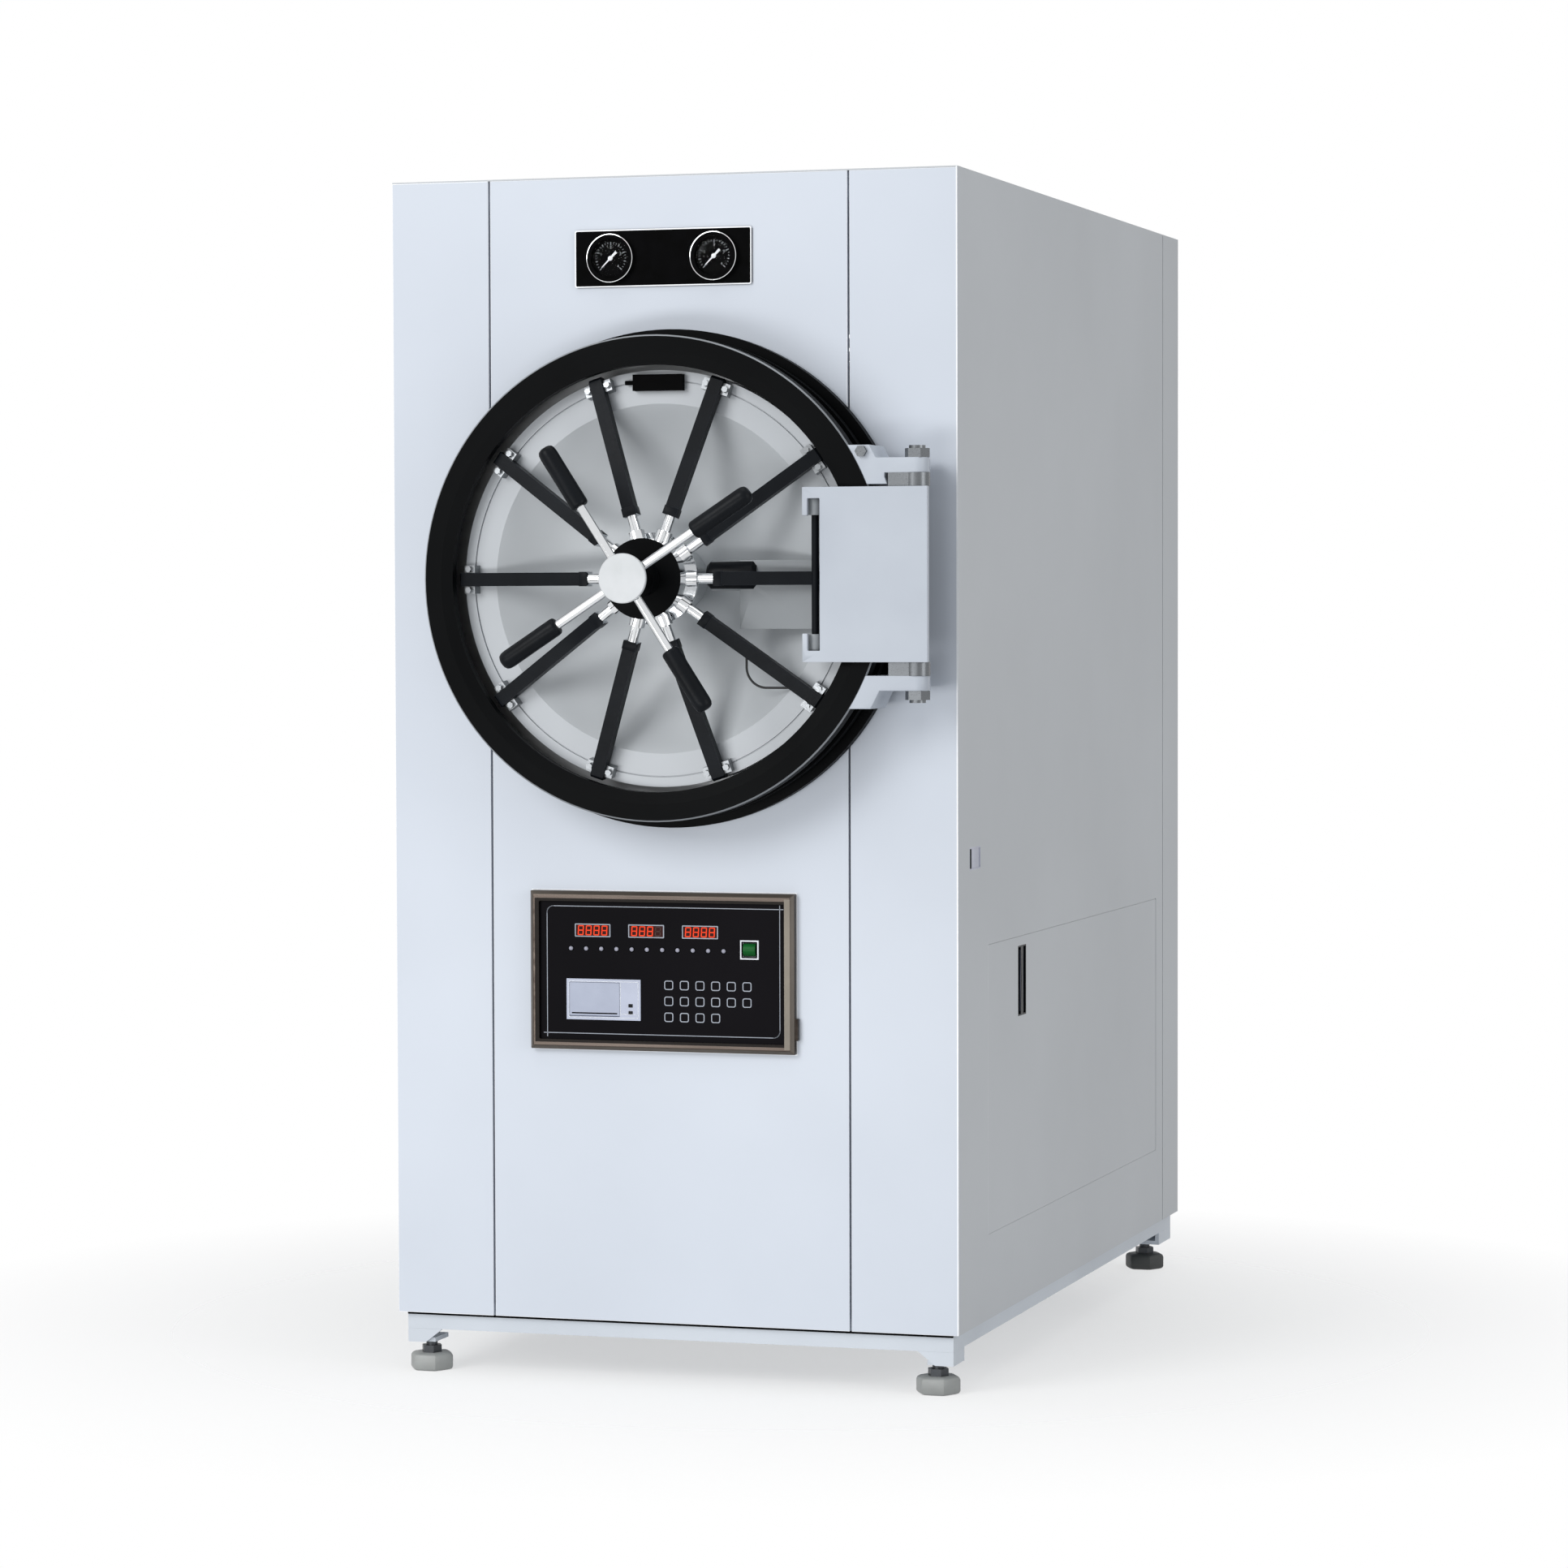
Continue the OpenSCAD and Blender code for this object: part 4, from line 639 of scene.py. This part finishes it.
def frame_strips():
    """Painted shade in the frame's inner part, widest on the left, a painted highlight on its right part and
    a near-white painted highlight along its outline.
    """
    wide = rounded(FILM_W + DARK_MORE_W, FILM_H + DARK_MORE_H, DARK_RADII[0], FEW_STEPS)
    shifted = [(x - DARK_SHIFT, z) for x, z in wide]
    narrow = rounded(FILM_W + STRIP_GAP, FILM_H + STRIP_GAP, DARK_RADII[1], FEW_STEPS)
    dark = band(shifted, narrow, BOARD_REACH + DARK_PROUD, BOARD_REACH - SUNK, BOARD)
    right = rounded(LIGHT_W, FILM_H + BOARD_BORDER, LIGHT_RADIUS, FEW_STEPS)
    light = prism(right, BOARD_REACH + LIGHT_PROUD, BOARD_REACH - SUNK, (BOARD[0] + LIGHT_X, BOARD[1]))
    outline_w, outline_h = BOARD_W + OUTLINE_OVER, BOARD_H + OUTLINE_OVER
    outline = border(outline_w, outline_h, OUTLINE_W, OUTLINE_RADII, OUTLINE_FRONT, OUTLINE_BACK,
                     BOARD, FEW_STEPS)
    piece("panel_inner_shade_band", dark, "panel_inner_shade", "cabinet")
    piece("panel_right_highlight_band", light, "panel_right_highlight", "cabinet")
    piece("panel_outline_highlight", outline, "painted_highlight_white", "cabinet")


piece("panel_lines", film_lines(), "key_print", "cabinet")
frame_strips()

# Number displays: figures of seven bars, an eight or a blank in each place
DISPLAYS = ("8888", "888 ", "8888")
DISPLAY_U = -99.2
DISPLAY_PITCH = 77.4
DISPLAY_V = 55.2
DIGIT_W = 7.0
DIGIT_H = 12.2
DIGIT_PITCH = 11.4
DIGIT_LEAN = 0.06
DIGIT_FRONT, DIGIT_BACK = FILM + 1.1, FILM + 0.7
BAR_W = 1.45
BAR_GAP = 0.6
DISPLAY_W = 51.5
DISPLAY_H = 18.0
DISPLAY_EDGE = 1.35
DISPLAY_PROUD = 1.0
SMALL_RADII = (1.0, 0.5)


def digit(x, z):
    """The seven bars of one figure."""
    half_w, half_h = DIGIT_W / 2, DIGIT_H / 2
    bars = [[(BAR_GAP - half_w, v), (half_w - BAR_GAP, v)] for v in (half_h, 0, -half_h)]
    for low, high in ((BAR_GAP, half_h - BAR_GAP), (BAR_GAP - half_h, -BAR_GAP)):
        bars += [[(u, low), (u, high)] for u in (-half_w, half_w)]
    leaning = [[(x + u + v * DIGIT_LEAN, z + v) for u, v in bar] for bar in bars]
    return [stroke(bar, BAR_W, DIGIT_FRONT, DIGIT_BACK, BOARD) for bar in leaning]


def displays():
    """Lit and unlit figures, and a border round each display."""
    lit, unlit, borders = [], [], []
    for i, figures in enumerate(DISPLAYS):
        u = DISPLAY_U + i * DISPLAY_PITCH
        for k, figure in enumerate(figures):
            bars = digit(u + (k - (len(figures) - 1) / 2) * DIGIT_PITCH, DISPLAY_V)
            (lit if figure == "8" else unlit).extend(bars)
        at = (BOARD[0] + u, BOARD[1] + DISPLAY_V)
        borders.append(border(DISPLAY_W, DISPLAY_H, DISPLAY_EDGE, SMALL_RADII,
                              FILM + DISPLAY_PROUD, FILM - SUNK, at))
    piece("display_digits", joined(lit), "led_digit", "cabinet")
    piece("display_digits_off", joined(unlit), "led_off", "cabinet")
    piece("display_borders", joined(borders), "key_print", "cabinet")


displays()

# Indicator lamps, which replace the CAD's plain ones, and the border inside the power switch
LAMP_U = -130.9
LAMP_PITCH = 22.0
LAMP_V = 30.1
LAMP_COUNT = 11
LENS_PROFILE = [(0, 3.0), (0.8, 2.9), (1.4, 2.4), (1.9, 1.4), (2.1, 0.2)]
LAMP_RIM = (4.1, 3.1)
LAMP_RIM_PROUD = 0.4
LAMP_STEPS = 24
SWITCH = (BOARD[0] + 126.3, BOARD[1] + 32.5)
SWITCH_W = 22.4
SWITCH_EDGE = 1.3
SWITCH_FRONT, SWITCH_BACK = FILM + 2.25, FILM + 0.5


def lamps():
    """Domed lenses, each in a dark rim."""
    lenses, rims = [], []
    for i in range(LAMP_COUNT):
        at = (BOARD[0] + (LAMP_U + LAMP_PITCH * i), BOARD[1] + LAMP_V)
        lenses.append(lathe(LENS_PROFILE, point(at[0], -FILM, at[1]), (0, -1, 0), LAMP_STEPS))
        outer, inner = [circle(radius, LAMP_STEPS) for radius in LAMP_RIM]
        rims.append(band(outer, inner, FILM + LAMP_RIM_PROUD, FILM - SUNK, at))
    lens = piece("lamp_lenses", joined(lenses), "lamp_lens", "cabinet", smooth=True)
    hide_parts("indicator_lamps")
    piece("lamp_rims", joined(rims), "dial_black", "cabinet")


lamps()
switch_border = border(SWITCH_W, SWITCH_W, SWITCH_EDGE, SMALL_RADII, SWITCH_FRONT, SWITCH_BACK, SWITCH)
piece("switch_inner_border", switch_border, "dial_black", "cabinet")

# Printer: outline, line beside the paper cover, line below the buttons and paper slot
PRINTER = (BOARD[0] - 83.5, BOARD[1] - 39.4)
PRINTER_W = 107.0
PRINTER_H = 56.0
PRINTER_MARGIN = 6.0
PRINTER_RADII = (2.0, 1.6)
PRINTER_PROUD = 2.0
PRINTER_FACE = FILM + PRINTER_PROUD
FINE_LINE_W = 0.6
FINE_LINE_PROUD = 0.12
SLOT_W = 1.8
COVER_LINE = [(24.6, 22.0), (24.6, -22.0)]
BUTTON_LINE = [(26.0, -19.5), (48.0, -19.5)]
PAPER_SLOT = [(-45.0, -19.0), (19.0, -19.0)]


def printer():
    """The lines on the printer's body and the slot in its paper cover."""
    front, back = PRINTER_FACE + FINE_LINE_PROUD, PRINTER_FACE - SUNK
    w, h = PRINTER_W - PRINTER_MARGIN, PRINTER_H - PRINTER_MARGIN
    lines = [border(w, h, FINE_LINE_W, PRINTER_RADII, front, back, PRINTER)]
    lines += [stroke(line, FINE_LINE_W, front, back, PRINTER) for line in (COVER_LINE, BUTTON_LINE)]
    slot = stroke(PAPER_SLOT, SLOT_W, PRINTER_FACE + LINE_PROUD, back, PRINTER)
    piece("printer_lines", joined(lines), "guide_steel", "cabinet")
    piece("paper_slot", slot, "dial_black", "printer_door")


printer()

# Film keys
KEY_ROWS = (6, 6, 4)
KEY_U = 10.4
KEY_V = -17.9
KEY_PITCH = 22.4
KEY_DROP = 21.9
KEY_W = 12.8
KEY_LINE = 1.3
KEY_RADII = (3.0, 2.0)
KEY_FRONT, KEY_BACK = FILM + 0.65, FILM + 0.2


def key_outlines():
    """A light outline on each film key."""
    outlines = []
    for row, count in enumerate(KEY_ROWS):
        for i in range(count):
            at = (BOARD[0] + KEY_U + KEY_PITCH * i, BOARD[1] + KEY_V - KEY_DROP * row)
            outlines.append(border(KEY_W, KEY_W, KEY_LINE, KEY_RADII, KEY_FRONT, KEY_BACK, at))
    return joined(outlines)


piece("key_outlines", key_outlines(), "key_print", "cabinet")

# Foot pads with softened corners and edges, which replace the CAD's sharp ones
FOOT_INSET = 37.0
FOOT_FRONT = 31.0
FOOT_REAR = 78.0
FOOT_X = SIDE_X - FOOT_INSET
FOOT_BACK = CAB_D - FOOT_REAR
PAD_PROFILE = [(0.0, 27.0), (1.5, 29.6), (4.0, 31.0), (19.0, 31.0), (22.0, 29.4), (24.0, 25.5), (24.0, 12.0)]
PAD_STEPS = 48
PAD_FLAT = 0.905
PAD_CORNER = 0.93
PAD_BEVEL = 0.8


def flat_share(t):
    """The pad's reach at an angle, as a share of its radius: flats that end in softened corners."""
    from_flat = t % (math.pi / 3) - math.pi / 6
    return min(1.0, PAD_FLAT / math.cos(from_flat * PAD_CORNER))


def foot_pad(x, y):
    """A pad from (height, radius) points."""
    turns = [2 * math.pi * i / PAD_STEPS for i in range(PAD_STEPS)]
    return skin([[point(x + r * flat_share(t) * math.cos(t), y + r * flat_share(t) * math.sin(t), z)
                  for t in turns] for z, r in PAD_PROFILE])


feet = [foot_pad(x, y) for x in (-FOOT_X, FOOT_X) for y in (FOOT_FRONT, FOOT_BACK)]
pads = piece("foot_pad_bodies", joined(feet), "foot_plastic", "cabinet", bevel=PAD_BEVEL)
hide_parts("foot_pads")
# The rear pads take the darker copy of their plastic: painted shade
pads.data.materials.append(MATERIALS["foot_plastic_shaded"])
for face in pads.data.polygons:
    face.material_index = int(face.center.y > 0)

# Handwheel grips, which replace the CAD's plain ones
HANDLE_COUNT = 4
HANDLE_TURN = 33
CAP_T = 5.0
HANDLE_PLANE = 8.0
HANDLE_Y = -(WHEEL_REACH - CAP_T - HANDLE_PLANE)
HANDLE_L = 206.0
GRIP_L = 93.0
GRIP_R = 12.5
GRIP_ROOT = [(0.0, 7.0), (0.6, 10.6), (2.2, 12.0), (5.0, GRIP_R), (43.0, GRIP_R - 0.1)]
GRIP_END = [(12.0, GRIP_R), (6.0, 11.9), (2.4, 10.2), (0.6, 7.4), (0.0, 3.5)]
GRIP_STEPS = 48


def grip(i):
    """A rounded sleeve; its radii are given from its root outwards, then back from its end."""
    t = math.radians(HANDLE_TURN + 360 / HANDLE_COUNT * i)
    profile = [(HANDLE_L - GRIP_L + d, r) for d, r in GRIP_ROOT] + [(HANDLE_L - d, r) for d, r in GRIP_END]
    return lathe(profile, point(AXIS_X, HANDLE_Y, AXIS_Z), (math.cos(t), 0, math.sin(t)), GRIP_STEPS)


grips = joined([grip(i) for i in range(HANDLE_COUNT)])
handles = piece("grip_sleeves", grips, "grip_plastic", "handwheel", smooth=True)
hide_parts("handwheel_grips")

# Painted shadow: a dark strip on the front rail, below the panels
RAIL_X = SIDE_X - FRAME_INSET
RAIL_STRIP_T = 1.5
RAIL_STRIP_H = 4.0
strip_low = (-RAIL_X, FRAME_INSET - RAIL_STRIP_T, SKIRT_Z - RAIL_STRIP_H)
strip_high = (RAIL_X, FRAME_INSET, SKIRT_Z)
piece("rail_shadow_strip", block(strip_low, strip_high), "dial_black", "cabinet")

# Seal strips in the narrow gap round the service door; the near-white front strip is a painted highlight on
# its front edge
SERVICE_FRONT = 156.0
SERVICE_REAR = 160.0
SERVICE_BACK = CAB_D - SERVICE_REAR
SERVICE_LOW = 200.0
SERVICE_TOP = 600.0
SEAL_X = SIDE_X - 6.0
SEAL_SUNK = 0.4
SEAL_GAP = 0.05
SEAL_T = 0.75
SEAL_FRONT_T = 0.8
SEAL_FRONT_END = 0.9
SEAL_BACK_END = 6.0


def seal(z):
    """A horizontal strip along the door's lower or upper edge."""
    low = (SEAL_X, SERVICE_FRONT + SEAL_FRONT_END, z)
    high = (SIDE_X - SEAL_SUNK, SERVICE_BACK - SEAL_BACK_END, z + SEAL_T)
    return block(low, high)


def front_seal():
    """The upright strip along the door's front edge."""
    y = SERVICE_FRONT + SEAL_GAP
    return block((SEAL_X, y, SERVICE_LOW), (SIDE_X - SEAL_GAP, y + SEAL_FRONT_T, SERVICE_TOP))


seals = [seal(SERVICE_LOW + SEAL_GAP), seal(SERVICE_TOP - SEAL_GAP - SEAL_T)]
piece("service_seal", joined(seals), "side_paint", "cabinet")
piece("service_seal_front", front_seal(), "painted_highlight_white", "cabinet")

# Painted highlight: a bright line on the front right corner
CORNER_X = (SIDE_X - 1.9, SIDE_X - 0.1)
CORNER_Y = (-0.06, 0.4)
CORNER_SHORT = 0.5
line_low = (CORNER_X[0], CORNER_Y[0], SKIRT_Z + CORNER_SHORT)
line_high = (CORNER_X[1], CORNER_Y[1], CAB_H - CORNER_SHORT)
piece("corner_highlight", block(line_low, line_high), "painted_highlight_white", "cabinet")

# Dark slot of the latch
LATCH_Y = 65.5
LATCH_Z = 722.0
SLOT_X = (SIDE_X - 3.9, SIDE_X - 0.3)
SLOT_HALF_L = 4.2
SLOT_HALF_H = 13.2
slot_low = (SLOT_X[0], LATCH_Y - SLOT_HALF_L, LATCH_Z - SLOT_HALF_H)
slot_high = (SLOT_X[1], LATCH_Y + SLOT_HALF_L, LATCH_Z + SLOT_HALF_H)
piece("latch_slot", block(slot_low, slot_high), "dial_black", "cabinet")

# Painted highlights: two bluish crescents in the service door's pull
PULL_BACK = 189.0
PULL_DROP = 63.5
PULL_Y = SERVICE_FRONT + PULL_BACK
PULL_Z = SERVICE_TOP - PULL_DROP
PULL_HALF_H = 43.0
CRESCENT_X = (SIDE_X - 1.6, SIDE_X - 0.4)
CRESCENT_WAIST = 5.0
CRESCENT_BOW = 3.0
CRESCENT_TIP_W = 1.0
CRESCENT_MORE_W = 2.0
CRESCENT_STEPS = 24


def crescent(sign):
    """A thin bluish crescent, a painted highlight, before or behind the pull's middle and widest at half its
    height.
    """
    rings = []
    for i in range(CRESCENT_STEPS + 1):
        t = -1 + 2 * i / CRESCENT_STEPS
        inner = CRESCENT_WAIST + CRESCENT_BOW * t * t
        outer = inner + CRESCENT_TIP_W + CRESCENT_MORE_W * (1 - t * t)
        deep, near = CRESCENT_X
        corners = ((deep, inner), (deep, outer), (near, outer), (near, inner))
        rings.append([point(x, PULL_Y + sign * edge, PULL_Z + PULL_HALF_H * t) for x, edge in corners])
    return skin(rings)


piece("pull_highlights", joined([crescent(sign) for sign in (-1, 1)]), "pull_highlight_blue", "service_door")

# Floor in metres: it fades to clear away from the object, whose shadow it keeps, and shows no edge
FLOOR_HALF = 9
FLOOR_SHADE = 0.94
FLOOR_ROUGH = 0.8
FADE = {"From Min": 0.45, "From Max": 1.45, "To Min": 0.5}


def floor_material():
    """A matt surface that turns clear away from the middle."""
    tree, shader = new_material("floor")
    shader.inputs["Base Color"].default_value = (FLOOR_SHADE, FLOOR_SHADE, FLOOR_SHADE, 1)
    shader.inputs["Roughness"].default_value = FLOOR_ROUGH
    coords = new_node(tree, "TexCoord")
    fade = new_node(tree, "MapRange", FADE, {"Value": vector_length(tree, coords.outputs["Object"])})
    clear = new_node(tree, "BsdfTransparent")
    shares = {"Fac": fade.outputs["Result"], 1: shader.outputs[0], 2: clear.outputs[0]}
    mix = new_node(tree, "MixShader", links=shares)
    tree.links.new(mix.outputs[0], tree.nodes["Material Output"].inputs["Surface"])
    return MATERIALS["floor"]


floor_mesh = bpy.data.meshes.new("floor")
floor_corners = [(-FLOOR_HALF, -FLOOR_HALF, 0), (FLOOR_HALF, -FLOOR_HALF, 0),
                 (FLOOR_HALF, FLOOR_HALF, 0), (-FLOOR_HALF, FLOOR_HALF, 0)]
floor_mesh.from_pydata(floor_corners, [], [(0, 1, 2, 3)])
floor_mesh.materials.append(floor_material())
floor = add_object("floor", floor_mesh)


# Lamps of the studio, placed in metres
def area_light(name, place, target, size, power):
    """A soft light that faces a target."""
    light = bpy.data.lights.new(name, "AREA")
    light.shape = "RECTANGLE"
    light.size, light.size_y = size
    light.energy = power
    made = add_object(name, light)
    made.location = place
    made.rotation_euler = (Vector(target) - Vector(place)).to_track_quat("-Z", "Y").to_euler()


area_light("key", (-2.2, -4.6, 3.0), (0, 0, 0.8), (2.4, 2.4), 116)
area_light("fill", (4.8, -2.2, 1.7), (0, 0.2, 0.8), (2.4, 3.0), 62)
area_light("top", (0.0, -1.0, 4.6), (0, 0, 1.0), (3.0, 3.0), 34)
area_light("low", (-0.6, -3.4, 0.35), (0, -0.6, 0.35), (2.6, 0.5), 31)

# World: white to the camera and in reflections, soft light for everything else
SOFT_LIGHT = {"Color": (0.86, 0.9, 0.95, 1), "Strength": 0.4}
WHITE_LIGHT = {"Color": (1, 1, 1, 1), "Strength": 1.0}


def studio_world():
    """The world's shader, which is chosen by the kind of ray."""
    world = bpy.data.worlds.new("studio")
    world.use_nodes = True
    tree = world.node_tree
    tree.nodes.clear()
    soft = new_node(tree, "Background", SOFT_LIGHT)
    white = new_node(tree, "Background", WHITE_LIGHT)
    path = new_node(tree, "LightPath")
    seen = path.outputs["Is Camera Ray"]
    for ray in ("Is Glossy Ray", "Is Transmission Ray"):
        either = new_node(tree, "Math", links={0: seen, 1: path.outputs[ray]})
        either.operation = "MAXIMUM"
        seen = either.outputs[0]
    choose = new_node(tree, "MixShader", links={"Fac": seen, 1: soft.outputs[0], 2: white.outputs[0]})
    new_node(tree, "OutputWorld", links={"Surface": choose.outputs[0]})
    bpy.context.scene.world = world


studio_world()

# Camera, fitted to the photo: place in mm, angles in radians, focal length in pixels of its square frame
CAMERA_PLACE = point(2045.0, -6078.9, 1067.5)
YAW, PITCH, ROLL = 0.30064, 0.038276, -0.0028
FOCAL_PX = 5800
FRAME_PX = 1932
SENSOR_MM = 36.0
FAR_END = 50.0


def camera_turn():
    """The camera's rotation from its yaw, pitch and roll."""
    forward = Vector((-math.sin(YAW) * math.cos(PITCH), math.cos(YAW) * math.cos(PITCH), -math.sin(PITCH)))
    right = Vector((math.cos(YAW), math.sin(YAW), 0))
    down = forward.cross(right)
    c, s = math.cos(ROLL), math.sin(ROLL)
    right, down = c * right - s * down, s * right + c * down
    return Matrix((right, -down, -forward)).transposed().to_4x4()


camera_data = bpy.data.cameras.new("camera")
camera_data.sensor_width = SENSOR_MM
camera_data.lens = SENSOR_MM * FOCAL_PX / FRAME_PX
camera_data.clip_end = FAR_END
camera = add_object("camera", camera_data)
camera.matrix_world = Matrix.Translation(CAMERA_PLACE) @ camera_turn()
bpy.context.scene.camera = camera
bpy.context.scene.view_settings.view_transform = "Standard"
